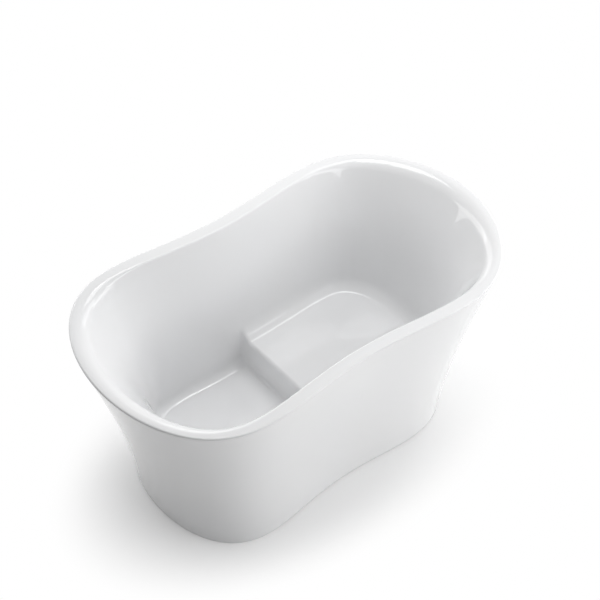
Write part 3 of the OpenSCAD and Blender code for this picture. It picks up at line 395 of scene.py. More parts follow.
for i in range(face_count - 1):
    faces += band(i * RING, (i + 1) * RING)
extra, flat = flat_bottom((face_count - 1) * RING, face_bottom, FLOOR_COLUMNS)
faces += flat
points = np.concatenate([points, np.array(extra)])
back_start = len(points)
back = [full_ring(r) for r in rows_back]
points = np.concatenate([points] + back)
for i in range(len(back) - 1):
    faces += band(back_start + i * RING, back_start + (i + 1) * RING)
extra, flat = flat_bottom(back_start + (len(back) - 1) * RING, rows_back[-1], BACK_FLOOR_COLUMNS)
faces += flat
points = np.concatenate([points, np.array(extra)])
faces += band(0, back_start)
basin = piece("basin_shell", points, faces, white_acrylic, 50)


def lathe(profile, sides=64, bored=False, flats=None, pitch=1.0):
    """A turned shape from [radius, height] pairs in mm along its axis Z.

    A third value in a pair is the depth of a thread there, which runs up as a helix. Flats are
    milled on as (how many, width across), and a bored shape is closed from its last pair to its first.
    """
    rows = np.array([(*row, 0) if len(row) == 2 else row for row in profile], float)
    turn = np.arange(sides) * 2 * math.pi / sides
    r = np.repeat(rows[:, :1], sides, 1)
    if flats:
        step = 2 * math.pi / flats[0]
        r = np.minimum(r, flats[1] / 2 / np.cos((turn + step / 2) % step - step / 2))
    phase = (rows[:, 1:2] / pitch - turn / (2 * math.pi)) % 1
    r = r - rows[:, 2:3] * np.abs(2 * phase - 1)
    points = np.stack([r * np.cos(turn), r * np.sin(turn), np.repeat(rows[:, 1:2], sides, 1)], -1)
    return points.reshape(-1, 3), joined(len(rows), sides, bored)


def cut(obj, tool):
    """Takes the tool's shape out of a piece and drops the tool."""
    change = obj.modifiers.new("cut", "BOOLEAN")
    change.operation = "DIFFERENCE"
    change.solver = "EXACT"
    change.object = tool
    bpy.context.view_layer.update()
    done = bpy.data.meshes.new_from_object(obj.evaluated_get(bpy.context.evaluated_depsgraph_get()))
    obj.modifiers.clear()
    obj.data = done
    bpy.data.objects.remove(tool)


# The waste stands in a round recess, and the overflow on a flat in the near wall. The place and
# the lean of that flat are those of the solids' wall.
DRAIN_X = -290
OVERFLOW_Y, OVERFLOW_Z, OVERFLOW_LEAN = 289.592, 520, math.radians(19.0312)
overflow = (DRAIN_X, -OVERFLOW_Y, OVERFLOW_Z)
overflow_turn = Matrix.Rotation(OVERFLOW_LEAN - math.pi / 2, 4, "X")
recess = piece("cutter", *lathe([(26, 100), (26, 131), (37, 131), (38, 132), (38, 133), (38.6, 133.7),
                                 (40, 134.2), (40, 150)], 96), white_acrylic)
recess.matrix_world = Matrix.Translation(Vector((DRAIN_X, 0, 0)) * MM)
cut(basin, recess)
hole = piece("cutter", *lathe([(27, -60), (27, -5.2), (20, -5.2), (20, -1.2), (30.8, -1.2),
                               (31.5, -0.4), (32.5, 1.6), (34, 6), (34, 20)], 96), white_acrylic)
hole.matrix_world = Matrix.Translation(Vector(overflow) * MM) @ overflow_turn
cut(basin, hole)
basin.data.set_sharp_from_angle(angle=math.radians(40))
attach(basin, "tub")
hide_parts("basin")


# Skirt
# The outer shell, flared like a trumpet from the floor to the rim and bonded under it.
# The same acrylic, 6 mm thick, its joint with the rim filled and polished away.
# Its lower edge is trimmed just clear of the floor.

SKIRT_FOOT, FOOT_ROUND = 2, 1.5
FOOT_ROWS, OUTER_ROWS, INNER_ROWS = 3, 60, 24


def fitting(name, shape, material, slot, *replaced, body="tub", sharp=35):
    """A piece that rides on a body and stands for the named nodes."""
    part = piece(name, *shape, material, sharp)
    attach(part, body)
    if replaced:
        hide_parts(*replaced)


rows = []
for a in np.linspace(0, math.pi / 2, FOOT_ROWS + 1):
    z = SKIRT_FOOT + FOOT_ROUND * (1 - math.cos(a))
    rows.append(level(skirt_line(z, FOOT_ROUND * (1 - math.sin(a))), z))
for z in np.linspace(SKIRT_FOOT + FOOT_ROUND, LIP_Z, OUTER_ROWS + 1)[1:]:
    rows.append(level(skirt_line(z), z))
for z in np.linspace(LIP_Z, SKIRT_FOOT, INNER_ROWS + 1):
    rows.append(level(skirt_line(z, SHELL), z))
fitting("skirt_shell", (np.concatenate([full_ring(r) for r in rows]), joined(len(rows), RING, True)),
        white_acrylic, "acrylic", "skirt", sharp=50)


# Rim bond
# A bead of filled adhesive in the corner behind the joint of rim and skirt. It is gunned in
# before the two shells are clamped together, so its face stays lumpy.

BEAD_LOW, BEAD_HIGH, BEAD_DEPTH, BOND_GAP = 583, 601, 8, 0.3


def moulded(name, tint, roughness, grain, depth):
    """Moulded or cured material: slight patches of tone and a fine grain, sizes in metres."""
    m, tree, where = new_finish(name)
    patches = noise(tree, where, 0.3 / grain, 3.0)
    feed(tree, tree.nodes["Principled BSDF"], {
        "Base Color": tones(tree, patches, (0.3, [0.9 * t for t in tint]), (0.7, tint)),
        "Roughness": gloss(tree, patches, roughness, 0.15),
        "Normal": relief(tree, noise(tree, where, 1 / grain, 2.0), 0.4, depth)})
    return m


cured_adhesive = moulded("cured_adhesive", (0.80, 0.78, 0.72), 0.6, 0.004, 0.0006)
along = np.arange(HALF + 1)
rows = []
for i in range(9):
    share = i / 8
    lump = 1 + 0.10 * np.sin(along * 0.9 + 2 * share) + 0.06 * np.sin(along * 2.3 + 5 * share)
    depth = BEAD_DEPTH * math.sqrt(math.sin(math.pi * (0.1 + 0.8 * share))) * lump
    z = BEAD_LOW + (BEAD_HIGH - BEAD_LOW) * share
    rows.append(level(skirt_line(z, SHELL + BOND_GAP + depth[:, None]), z))
for z in (BEAD_HIGH, (BEAD_LOW + BEAD_HIGH) / 2, BEAD_LOW):
    rows.append(level(skirt_line(z, SHELL + BOND_GAP), z))
fitting("rim_bead", (np.concatenate([full_ring(r) for r in rows]), joined(len(rows), RING, True)),
        cured_adhesive, "adhesive", "rim_bond_bead")


# Baseboards and skirt blocks
# Plywood boards laminated under the foot well and under the seat take the weight off the shell,
# and four blocks behind the skirt's foot take its fixing screws. All are sealed with resin.

def sealed_plywood(name):
    """Plywood: long grain on the faces, stripes of crossed veneers 1.5 mm thick on the edges."""
    m, tree, where = new_finish(name)
    stretch = add_node(tree, "Mapping", {"Vector": where, "Scale": (4, 70, 70)})
    grain = noise(tree, stretch.outputs["Vector"], 1.0, 8.0)
    face = tones(tree, grain, (0.35, (0.50, 0.35, 0.20)), (0.65, (0.74, 0.58, 0.38)))
    plies = add_node(tree, "TexWave", {"Vector": where, "Scale": 105.0, "Distortion": 0.4},
                     wave_type="BANDS", bands_direction="Z")
    edge = tones(tree, plies.outputs["Fac"], (0.4, (0.36, 0.24, 0.13)), (0.6, (0.72, 0.57, 0.38)))
    split = add_node(tree, "SeparateXYZ", {"Vector": where.node.outputs["Normal"]})
    upright = add_node(tree, "Math", {0: split.outputs["Z"]}, operation="ABSOLUTE")
    choose = add_node(tree, "Mix", {}, data_type="RGBA")
    feed(tree, choose, {"Factor": upright.outputs["Value"], "A": edge, "B": face})
    feed(tree, tree.nodes["Principled BSDF"], {
        "Roughness": 0.45,
        "Base Color": choose.outputs["Result"],
        "Normal": relief(tree, grain, 0.3, 0.0004)})
    return m


board_plywood = sealed_plywood("board_plywood")
for node in ("well_board", "seat_board", "skirt_block_1", "skirt_block_2", "skirt_block_3",
             "skirt_block_4"):
    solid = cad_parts[node].data
    solid.materials.clear()
    solid.materials.append(board_plywood)


# Frame
# Two rails, three crossbars and two trestles of 25 mm square steel tube, welded together and hot
# dip galvanised. It stands on the levelling feet and carries both boards.

TUBE_WALL, TUBE_CORNER = 2, 3
WELD_R, WELD_SIDES, RIPPLE = 2.6, 10, 1.2


def metal(name, dark, light, roughness, flake, bump_depth):
    """Bare or plated metal whose tone and gloss change from flake to flake, sizes in metres."""
    m, tree, where = new_finish(name)
    flakes = add_node(tree, "TexVoronoi", {"Vector": where, "Scale": 1 / flake})
    split = add_node(tree, "SeparateColor", {"Color": flakes.outputs["Color"]})
    feed(tree, tree.nodes["Principled BSDF"], {
        "Metallic": 1.0,
        "Base Color": tones(tree, split.outputs["Red"], (0, dark), (1, light)),
        "Roughness": gloss(tree, split.outputs["Green"], roughness, 0.2),
        "Normal": relief(tree, noise(tree, where, 3 / flake, 3.0), 0.3, bump_depth)})
    return m


galvanised = metal("galvanised_steel", (0.50, 0.52, 0.54), (0.70, 0.72, 0.74), 0.42, 0.008, 0.0004)


def extent(node):
    """The lowest and highest corner of a node in mm."""
    low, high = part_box(node)
    return np.array(low) / MM, np.array(high) / MM


def gathered(shapes):
    """Several shapes, each as points and faces, as one."""
    points, faces = [], []
    for shape_points, shape_faces in shapes:
        base = len(points)
        points += [tuple(p) for p in shape_points]
        faces += [[base + k for k in face] for face in shape_faces]
    return points, faces


def rounded_square(half, r):
    """A square outline with rounded corners, five points to each."""
    points = []
    for corner in range(4):
        for i in range(5):
            a = math.pi / 2 * (corner + i / 4)
            x = (half - r) * (1 if corner in (0, 3) else -1) + r * math.cos(a)
            y = (half - r) * (1 if corner in (0, 1) else -1) + r * math.sin(a)
            points.append((x, y))
    return points


def along_axis(outline, middle, place, axis):
    """An outline set across an axis at a place along it."""
    across = [k for k in range(3) if k != axis]
    points = []
    for x, y in outline:
        p = [0, 0, 0]
        p[axis] = place
        p[across[0]] = middle[across[0]] + x
        p[across[1]] = middle[across[1]] + y
        points.append(p)
    return points


def square_tube(low, high, axis):
    """Square tube with rounded corners that fills a box from corner to corner."""
    middle = (np.array(low) + np.array(high)) / 2
    half = (high[(axis + 1) % 3] - low[(axis + 1) % 3]) / 2
    outer = rounded_square(half, TUBE_CORNER)
    inner = rounded_square(half - TUBE_WALL, TUBE_CORNER - TUBE_WALL)
    points = []
    for outline, place in ((outer, low[axis]), (outer, high[axis]), (inner, high[axis]),
                           (inner, low[axis])):
        points += along_axis(outline, middle, place, axis)
    return points, joined(4, len(outer), True)


def weld(start, end):
    """A bead laid along a corner in overlapping ripples."""
    start, end = np.array(start, float), np.array(end, float)
    ripples = max(6, int(np.linalg.norm(end - start) / RIPPLE))
    run = (end - start) / np.linalg.norm(end - start)
    side = np.cross(run, (0.3, 0.5, 0.8))
    side /= np.linalg.norm(side)
    other = np.cross(run, side)
    points = []
    for i in range(ripples + 1):
        t = i / ripples
        r = WELD_R * (0.9 + 0.1 * (i % 2)) * min(1, 0.3 + 6 * t, 0.3 + 6 * (1 - t))
        for k in range(WELD_SIDES):
            a = 2 * math.pi * k / WELD_SIDES
            points.append(start + (end - start) * t + (side * math.cos(a) + other * math.sin(a)) * r)
    return points, joined(ripples + 1, WELD_SIDES)


rail_low, rail_high = extent("frame_rail_far")
TUBE = rail_high[2] - rail_low[2]
rail_y = (rail_low[1] + rail_high[1]) / 2
frame_low, frame_high = rail_low[2], rail_high[2]
for node, axis in (("frame_rail_near", 0), ("frame_rail_far", 0), ("frame_crossbar_foot", 1),
                   ("frame_crossbar_middle", 1), ("frame_crossbar_head", 1)):
    fitting(node + "_tube", square_tube(*extent(node), axis), galvanised, "galvanised_steel", node)

welds = []
for node in ("seat_trestle_front", "seat_trestle_back"):
    low, high = extent(node)
    bearer_low = high[2] - TUBE
    shapes = [square_tube((low[0], low[1], bearer_low), high, 1)]
    for side in (-1, 1):
        y = side * rail_y
        leg_low, leg_high = (low[0], y - TUBE / 2, low[2]), (high[0], y + TUBE / 2, bearer_low)
        shapes.append(square_tube(leg_low, leg_high, 2))
        for x in (low[0], high[0]):
            welds.append(weld((x, y - 10, low[2]), (x, y + 10, low[2])))
            welds.append(weld((x, y - 10, bearer_low), (x, y + 10, bearer_low)))
    fitting(node + "_tube", gathered(shapes), galvanised, "galvanised_steel", node)
for x in (rail_low[0], rail_high[0]):
    for side in (-1, 1):
        for edge_y in (side * rail_y - TUBE / 2, side * rail_y + TUBE / 2):
            welds.append(weld((x, edge_y, frame_low + 2), (x, edge_y, frame_high - 2)))
low, high = extent("frame_crossbar_middle")
for x in (low[0], high[0]):
    for y in (low[1], high[1]):
        welds.append(weld((x, y, frame_low + 2), (x, y, frame_high - 2)))
fitting("frame_welds", gathered(welds), galvanised, "galvanised_steel", sharp=60)


# Crossbar end caps
# Black plastic caps pushed into the open ends of the two long crossbars, with a thin head and a
# shorter plug inside the tube.

CAP_HEAD, CAP_PLUG, CAP_EDGE, PLUG_GAP = 2, 8, 0.7, 0.6
black_plastic = moulded("black_plastic", (0.05, 0.05, 0.05), 0.5, 0.0009, 0.0001)
plug_half, cap_half = TUBE / 2 - TUBE_WALL - PLUG_GAP, TUBE / 2
cap_steps = ((plug_half, -CAP_PLUG), (plug_half, 0), (cap_half, 0), (cap_half, CAP_HEAD - CAP_EDGE),
             (cap_half - 0.2, CAP_HEAD - 0.2), (cap_half - CAP_EDGE, CAP_HEAD))
bar_end = extent("frame_end_caps")[1][1] - CAP_HEAD
shapes = []
for node in ("frame_crossbar_foot", "frame_crossbar_head"):
    middle = sum(extent(node)) / 2
    for side in (-1, 1):
        points = []
        for half, out in cap_steps:
            place = side * bar_end + side * out
            points += along_axis(rounded_square(half, TUBE_CORNER - 0.5), middle, place, 1)
        shapes.append((points, joined(len(cap_steps), len(points) // len(cap_steps))))
fitting("crossbar_caps", gathered(shapes), black_plastic, "black_plastic", "frame_end_caps")


# Levelling feet
# Five zinc plated studs M12 in swivelling plastic pads. Each screws into a boss welded under the
# frame and is held by a lock nut, so that the tub can be set level.

STUD_R, STUD_PITCH, STUD_THREAD = 6, 1.75, 0.9
FLATS_W, NUT_W, STUD_BORE = 17, 19, 6.3
BOSS_R, BOSS_WELDS = 11, 16
zinc = metal("zinc_plate", (0.62, 0.62, 0.60), (0.78, 0.78, 0.76), 0.28, 0.012, 0.0001)
foot_plastic = moulded("foot_plastic", (0.08, 0.08, 0.09), 0.55, 0.0012, 0.0002)


def threaded(r, low, high, pitch, depth):
    """The pairs of a thread, six to a turn, with a short run-out at each end."""
    count = int((high - low) / pitch * 6)
    pairs = []
    for i in range(count + 1):
        z = low + (high - low) * i / count
        pairs.append((r, z, depth * min(1, (z - low) / pitch, (high - z) / pitch)))
    return pairs


def moved(shape, place, turn=None):
    """A shape carried to a place in mm, turned first by a rotation matrix."""
    points = np.asarray(shape[0], float)
    if turn is not None:
        points = points @ np.array(turn.to_3x3()).T
    return points + np.array(place, float), shape[1]


def hex_nut(low, high, across, bore):
    """A nut with chamfered corners."""
    corner = across / 2 / math.cos(math.pi / 6)
    cut_in = corner - across / 2 * 0.98
    fall = cut_in * 0.5
    return lathe([(bore, low + 0.7), (bore + 0.7, low), (corner - cut_in, low), (corner, low + fall),
                  (corner, high - fall), (corner - cut_in, high), (bore + 0.7, high),
                  (bore, high - 0.7)], 96, True, (6, across))


def heights(node):
    low, high = extent(node)
    return low[2], high[2]


bosses, lock_nuts = [], []
boss_low, boss_high = heights("foot_bosses")
for i in range(1, 6):
    low, high = extent(f"levelling_foot_{i}")
    x, y = (low[:2] + high[:2]) / 2
    pad_r = (high[0] - low[0]) / 2
    pad = lathe([(0, 1.5), (pad_r - 5, 1.5), (pad_r - 4, 0), (pad_r - 1, 0), (pad_r - 0.3, 0.3),
                 (pad_r, 1), (pad_r, 5), (pad_r - 0.5, 6.2), (pad_r - 2, 7.4), (14, 10.8),
                 (12.6, 11.6), (11.6, 12), (0, 12)], 72)
    fitting(f"foot_pad_{i}", moved(pad, (x, y, 0)), foot_plastic, "foot_plastic",
            f"levelling_foot_{i}", body=f"foot_{i}")
    flats = lathe([(0, 10), (9.6, 10), (9.6, 12.6), (10, 13), (10, 19), (8.4, 20), (0, 20)], 48, False,
                  (6, FLATS_W))
    stud = lathe([(0, 19), (STUD_R - 1, 19)]
                 + threaded(STUD_R, 19.5, high[2] - 1.2, STUD_PITCH, STUD_THREAD)
                 + [(STUD_R - 0.2, high[2] - 1.2), (STUD_R - 1.4, high[2]), (0, high[2])], 40, False,
                 None, STUD_PITCH)
    fitting(f"foot_stud_{i}", moved(gathered([flats, stud]), (x, y, 0)), zinc, "zinc_fasteners",
            body=f"foot_{i}")
    bosses.append(moved(lathe([(STUD_BORE, boss_low + 0.8), (STUD_BORE + 0.8, boss_low),
                               (BOSS_R - 1, boss_low), (BOSS_R, boss_low + 1), (BOSS_R, boss_high),
                               (STUD_BORE, boss_high)], 64, True), (x, y, 0)))
    turns = np.arange(BOSS_WELDS + 1) * 2 * math.pi / BOSS_WELDS
    corners = [(x + (BOSS_R + 0.4) * math.cos(a), y + (BOSS_R + 0.4) * math.sin(a), boss_high - 0.6)
               for a in turns]
    for start, end in zip(corners, corners[1:]):
        bosses.append(weld(start, end))
    lock_nuts.append(moved(hex_nut(*heights("foot_lock_nuts"), NUT_W, STUD_BORE), (x, y, 0)))
fitting("boss_rings", gathered(bosses), galvanised, "galvanised_steel", "foot_bosses", sharp=50)
fitting("lock_nuts", gathered(lock_nuts), zinc, "zinc_fasteners", "foot_lock_nuts")


# Skirt brackets
# Four angles bent from 3 mm galvanised strip. Each is bolted under a rail and screwed to a block
# laminated inside the skirt, and keeps the skirt's foot from spreading.

BRACKET_T, BRACKET_W, BEND_INSIDE = 3, 30, 2
bracket_foot, bracket_top = heights("skirt_brackets")


def bracket(x, side, face_y):
    """One angle: its outline across the tub, with a bent corner, drawn out along the tub."""
    root = rail_y - TUBE / 2
    top, foot = bracket_top, bracket_foot
    bend = BRACKET_T + BEND_INSIDE
    outline = [(root, top)]
    outline += [(face_y - bend + bend * math.sin(a), top - bend + bend * math.cos(a))
                for a in np.linspace(0, math.pi / 2, 7)]
    outline += [(face_y, foot + 1), (face_y - 0.5, foot), (face_y - BRACKET_T + 0.5, foot),
                (face_y - BRACKET_T, foot + 1)]
    outline += [(face_y - bend + BEND_INSIDE * math.sin(a), top - bend + BEND_INSIDE * math.cos(a))
                for a in np.linspace(math.pi / 2, 0, 5)]
    outline.append((root, top - BRACKET_T))
    points = [(x + dx, side * y, z) for dx in (-BRACKET_W / 2, BRACKET_W / 2) for y, z in outline]
    return points, joined(2, len(outline))


block_faces = []
for i in range(1, 5):
    low, high = extent(f"skirt_block_{i}")
    side = 1 if low[1] > 0 else -1
    inner_y = min(abs(low[1]), abs(high[1]))
    block_faces.append(((low[0] + high[0]) / 2, side, inner_y, low[2], high[2]))
fitting("skirt_angles", gathered([bracket(x, side, y) for x, side, y, _, _ in block_faces]),
        galvanised, "galvanised_steel", "skirt_brackets")


# Bolts and screws
# Zinc plated hexagon bolts M6 hold the brackets to the rails. Pan head wood screws with a cross
# recess hold them to the blocks, and the boards to the frame.

BOLT_R, SCREW_R, SCREW_PITCH = 3, 2.1, 1.8
BLOCK_SCREW_L, BOARD_SCREW_L, BOLT_L = 11, 33, 13
WASTE_SCREW_GAP, BAR_SCREW_GAP, SEAT_SCREW_Y = 55, 20, 75


def set_as_shape(obj):
    """Takes a piece's mesh as points in mm and faces, and drops the piece."""
    points = [tuple(c / MM for c in v.co) for v in obj.data.vertices]
    faces = [list(p.vertices) for p in obj.data.polygons]
    bpy.data.objects.remove(obj)
    return points, faces


def cross_recess(top, size, depth):
    """The tool that presses a cross recess into a screw head: two tapered blades."""
    blades = []
    for along_x in (True, False):
        points = []
        for z, reach, half in ((top - depth, size * 0.5, 0.25), (top + 0.5, size, 0.42)):
            corners = ((-reach, -half), (reach, -half), (reach, half), (-reach, half))
            points += [(a, b, z) if along_x else (-b, a, z) for a, b in corners]
        blades.append((points, band(0, 4, 4) + [[3, 2, 1, 0], [4, 5, 6, 7]]))
    return blades


def pan_screw(length):
    """A pan head wood screw, head down, its seat at height 0."""
    head = [(0, -length), (0.6, -length), (SCREW_R - 0.6, -length + 2.5)]
    head += threaded(SCREW_R, -length + 3, -1, SCREW_PITCH, 0.6)
    head += [(SCREW_R, -0.2), (3.9, 0), (4.0, 0.5), (3.8, 1.3), (3.1, 2.0), (1.8, 2.4), (0, 2.5)]
    screw = piece("screw", *lathe(head, 32, False, None, SCREW_PITCH), zinc)
    for blade in cross_recess(2.5, 2.2, 1.3):
        cut(screw, piece("blade", *blade, zinc))
    return set_as_shape(screw)


def hex_bolt(length):
    """A hexagon bolt, head down, its seat at height 0."""
    return lathe([(0, -length), (BOLT_R - 0.8, -length)] + threaded(BOLT_R, -length + 0.8, -0.5, 1.0, 0.5)
                 + [(BOLT_R, 0), (4.9, 0), (5.7, 0.3), (5.7, 3.2), (4.9, 3.8), (4.2, 3.9), (0, 3.6)],
                 48, False, (6, 9.87), 1.0)


def fixings(name, node, shape, seats):
    """A group of like fasteners, each at a seat with its head turned out along a direction."""
    shapes = []
    for place, out in seats:
        shapes.append(moved(shape, place, Vector(out).to_track_quat("Z", "Y").to_matrix()))
    fitting(name, gathered(shapes), zinc, "zinc_fasteners", node, sharp=40)


block_screw = pan_screw(BLOCK_SCREW_L)
board_screw = pan_screw(BOARD_SCREW_L)
plate_seats, bolt_seats = [], []
for x, side, y, low_z, high_z in block_faces:
    for share in (0.3, 0.7):
        z = low_z + (high_z - low_z) * share
        plate_seats.append(((x, side * (y - BRACKET_T), z), (0, -side, 0)))
    bolt_seats.append(((x, side * rail_y, frame_low - BRACKET_T), (0, 0, -1)))
fixings("bracket_screw_heads", "bracket_screws", block_screw, plate_seats)
fixings("bracket_bolt_heads", "bracket_bolts", hex_bolt(BOLT_L), bolt_seats)
low, high = extent("frame_crossbar_middle")
bar_screw_x = (low[0] + high[0]) / 2 + BAR_SCREW_GAP
well_seats = [((x, side * rail_y, frame_low), (0, 0, -1)) for side in (-1, 1)
              for x in (DRAIN_X - WASTE_SCREW_GAP, DRAIN_X + WASTE_SCREW_GAP, bar_screw_x)]
fixings("well_screw_heads", "well_board_screws", board_screw, well_seats)
seat_seats = []
for node in ("seat_trestle_front", "seat_trestle_back"):
    low, high = extent(node)
    for side in (-1, 1):
        place = ((low[0] + high[0]) / 2, side * SEAT_SCREW_Y, high[2] - TUBE)
        seat_seats.append((place, (0, 0, -1)))
fixings("seat_screw_heads", "seat_board_screws", board_screw, seat_seats)


# Waste
# A chromed brass flange with a threaded body, drawn down on a rubber seal by a brass backnut and
# a washer under the bath. A cross low in its bore holds the click cartridge.

WASTE_PITCH, BODY_R, BODY_BORE = 2.31, 23.9, 20
BODY_HOLE = BODY_R + BOND_GAP


def soft_ring(inner, outer, low, high):
    """A rubber ring with rounded edges."""
    e = min(0.5, (high - low) / 3)
    return lathe([(inner + e, low), (outer - e, low), (outer, low + e), (outer, high - e),
                  (outer - e, high), (inner + e, high), (inner, high - e), (inner, low + e)], 72, True)


def on_waste(name, shape, material, slot, node, body="tub"):
    """A fitting on the waste's axis."""
    fitting(name, moved(shape, (DRAIN_X, 0, 0)), material, slot, node, body=body)


def spoke(half_width, half_height, z, start, end):
    """A bar along X from one distance to another, its long edges chamfered by half a millimetre."""
    flat, tall = half_width - 0.5, half_height - 0.5
    outline = [(-half_width, -tall), (-flat, -half_height), (flat, -half_height), (half_width, -tall),
               (half_width, tall), (flat, half_height), (-flat, half_height), (-half_width, tall)]
    points = along_axis(outline, (0, 0, z), start, 0) + along_axis(outline, (0, 0, z), end, 0)
    return points, joined(2, len(outline))


chrome = metal("chrome_plate", (0.76, 0.77, 0.79), (0.84, 0.84, 0.86), 0.07, 0.03, 0.00002)
brass = metal("cast_brass", (0.60, 0.45, 0.20), (0.74, 0.59, 0.30), 0.34, 0.003, 0.0003)
rubber = moulded("black_rubber", (0.06, 0.06, 0.06), 0.65, 0.0008, 0.0001)
z = heights("waste_flange_seal")[1]
low_z = heights("waste_flange")[0]
shapes = [lathe([(BODY_BORE + 0.8, low_z), (BODY_R - 1.3, low_z)]
                + threaded(BODY_R, low_z + 1, z - 7, WASTE_PITCH, 1.3)
                + [(BODY_R, z - 5), (BODY_R, z), (34.5, z), (35, z + 0.4), (35, z + 1.6), (34.5, z + 2.5),
                   (33.2, z + 2.95), (29, z + 3), (24, z + 2.5), (21.6, z + 1.4), (20.3, z - 0.6),
                   (BODY_BORE, z - 3), (BODY_BORE, low_z + 0.8)], 96, True, None, WASTE_PITCH)]
cross_low, cross_high = z - 26, z - 21
shapes.append(lathe([(6.3, cross_low), (9, cross_low), (9.5, cross_low + 0.5), (9.5, cross_high - 0.5),
                     (9, cross_high), (6.3, cross_high)], 48, True))
arm = spoke(1.5, 2.5, (cross_low + cross_high) / 2, 9, BODY_BORE + 0.4)
for quarter in range(4):
    shapes.append(moved(arm, (0, 0, 0), Matrix.Rotation(math.pi / 2 * quarter, 4, "Z")))
on_waste("waste_body", gathered(shapes), chrome, "chrome_trim", "waste_flange")
on_waste("flange_seal_ring", soft_ring(BODY_HOLE, 34, *heights("waste_flange_seal")), rubber,
         "rubber_seals", "waste_flange_seal")
on_waste("waste_washer_ring", soft_ring(BODY_HOLE, 36, *heights("waste_washer")), rubber,
         "rubber_seals", "waste_washer")
on_waste("backnut", hex_nut(*heights("waste_backnut"), 64, BODY_HOLE), brass, "brass_nut",
         "waste_backnut")


# Stopper
# A domed chromed cap over a lipped rubber seal, on a stem that clicks up and down in a plastic
# cartridge. The cartridge's shoulder hangs in the cross of the waste.

z = heights("stopper_cap")[0]
dome = [(30 * (1 - i / 12), z + 6 - 3.1 * (1 - i / 12) ** 2.4) for i in range(13)]
on_waste("stopper_dome", lathe([(0, z), (29.8, z), (30.7, z + 0.3), (31, z + 1), (31, z + 1.8),
                                (30.7, z + 2.5)] + dome, 96),
         chrome, "chrome_trim", "stopper_cap", body="stopper")
low, high = heights("stopper_seal")
on_waste("stopper_seal_lip", lathe([(18.4, low + 0.3), (22, low + 0.7), (24.6, low + 0.3), (25.6, low),
                                    (26, low + 0.4), (25.4, low + 1.2), (24.6, high), (18.4, high),
                                    (18, high - 0.4), (18, low + 0.7)], 72, True),
         rubber, "rubber_seals", "stopper_seal", body="stopper")
low, high = heights("stopper_stem")
on_waste("stopper_pin", lathe([(0, low), (2.3, low), (3, low + 0.7), (3, low + 3), (2.5, low + 3.5),
                               (2.5, low + 5), (3, low + 5.5), (3, high - 4), (2.6, high - 3.6),
                               (2.6, high - 3), (3, high - 2.6), (3, high), (0, high)], 40),
         chrome, "chrome_trim", "stopper_stem", body="stopper")
white_plastic = moulded("white_plastic", (0.86, 0.86, 0.84), 0.32, 0.0015, 0.0001)
low, high = heights("stopper_cartridge")
shoulder = high - 4
on_waste("click_cartridge", lathe([(0, low), (5, low), (6, low + 1), (6, low + 9), (5.6, low + 9.4),
                                   (5.6, low + 11), (6, low + 11.4), (6, shoulder), (8.1, shoulder),
                                   (8.5, shoulder + 0.4), (8.5, high - 0.6), (7.9, high), (3.9, high),
                                   (3.4, high - 0.5), (3.3, low + 3), (0, low + 3)],
                                  48, False, (12, 16.5)),
         white_plastic, "white_plastic", "stopper_cartridge")


# Drain tee and outlet
# White plastic fittings under the waste. A union nut with eight flats pulls the tee's collar up
# against its seal, and a second nut grips the outlet pipe, whose end stands just off the floor.

SLIP_R, SLIP_PITCH, PIPE_R, PIPE_WALL = 15.5, 1.8, 12.5, 2
PIPE_BORE, SLIP_SEAT = PIPE_R - PIPE_WALL, PIPE_R + BOND_GAP
TEE_BRANCH_L = 52


def slip_socket(root, thread_low, end, seat):
    """A threaded socket that takes a slip nut, with a seat inside for the pipe's end."""
    return lathe(root + threaded(SLIP_R, thread_low, end - 1, SLIP_PITCH, 0.9)
                 + [(14.9, end - 0.5), (14.4, end), (13.2, end), (SLIP_SEAT, end - 0.4),
                    (SLIP_SEAT, seat + 0.3), (12.4, seat), (10.9, seat), (PIPE_BORE, seat - 0.4)],
                 64, True, None, SLIP_PITCH)


def side_bore(start, place, turn):
    """The tool that opens a round way into the side of a fitting."""
    way = lathe([(0, start), (PIPE_BORE, start), (PIPE_BORE, 40), (0, 40)], 48)
    return piece("cutter", *moved(way, place, turn), white_plastic)


low, high = heights("drain_tee")
collar = lathe([(19.8, low + 0.6), (20.4, low), (22.6, low)]
               + threaded(24, low + 0.8, low + 13, WASTE_PITCH, 1.1)
               + [(24, low + 14.5), (24, low + 40.5), (23.3, low + 42.8), (21.8, low + 44),
                  (20.6, low + 44.3), (20, low + 45.2), (20, high - 5.6), (20.4, high - 5),
                  (23.3, high - 5), (23.7, high - 4.6), (23.7, high - 0.4), (23.3, high), (17.5, high),
                  (17, high - 0.5), (17, low + 12.5), (17.5, low + 12), (19.8, low + 12)],
               96, True, None, WASTE_PITCH)
towards_near = Matrix.Rotation(math.pi / 2, 4, "X")
branch_z = high - 30
tee = piece("tee_body", *collar, white_plastic)
cut(tee, side_bore(10, (0, 0, branch_z), towards_near))
branch = slip_socket([(PIPE_BORE, 18), (17.5, 18), (17.5, 24.6), (16.2, 25.6), (SLIP_R, 27.4),
                      (SLIP_R, 34)], 35, TEE_BRANCH_L, 36)
on_waste("tee_with_branch",
         gathered([set_as_shape(tee), moved(branch, (0, 0, branch_z), towards_near)]),
         white_plastic, "white_plastic", "drain_tee")
on_waste("tee_seal_ring", soft_ring(18, 23.7, *heights("tee_seal")), rubber, "rubber_seals", "tee_seal")


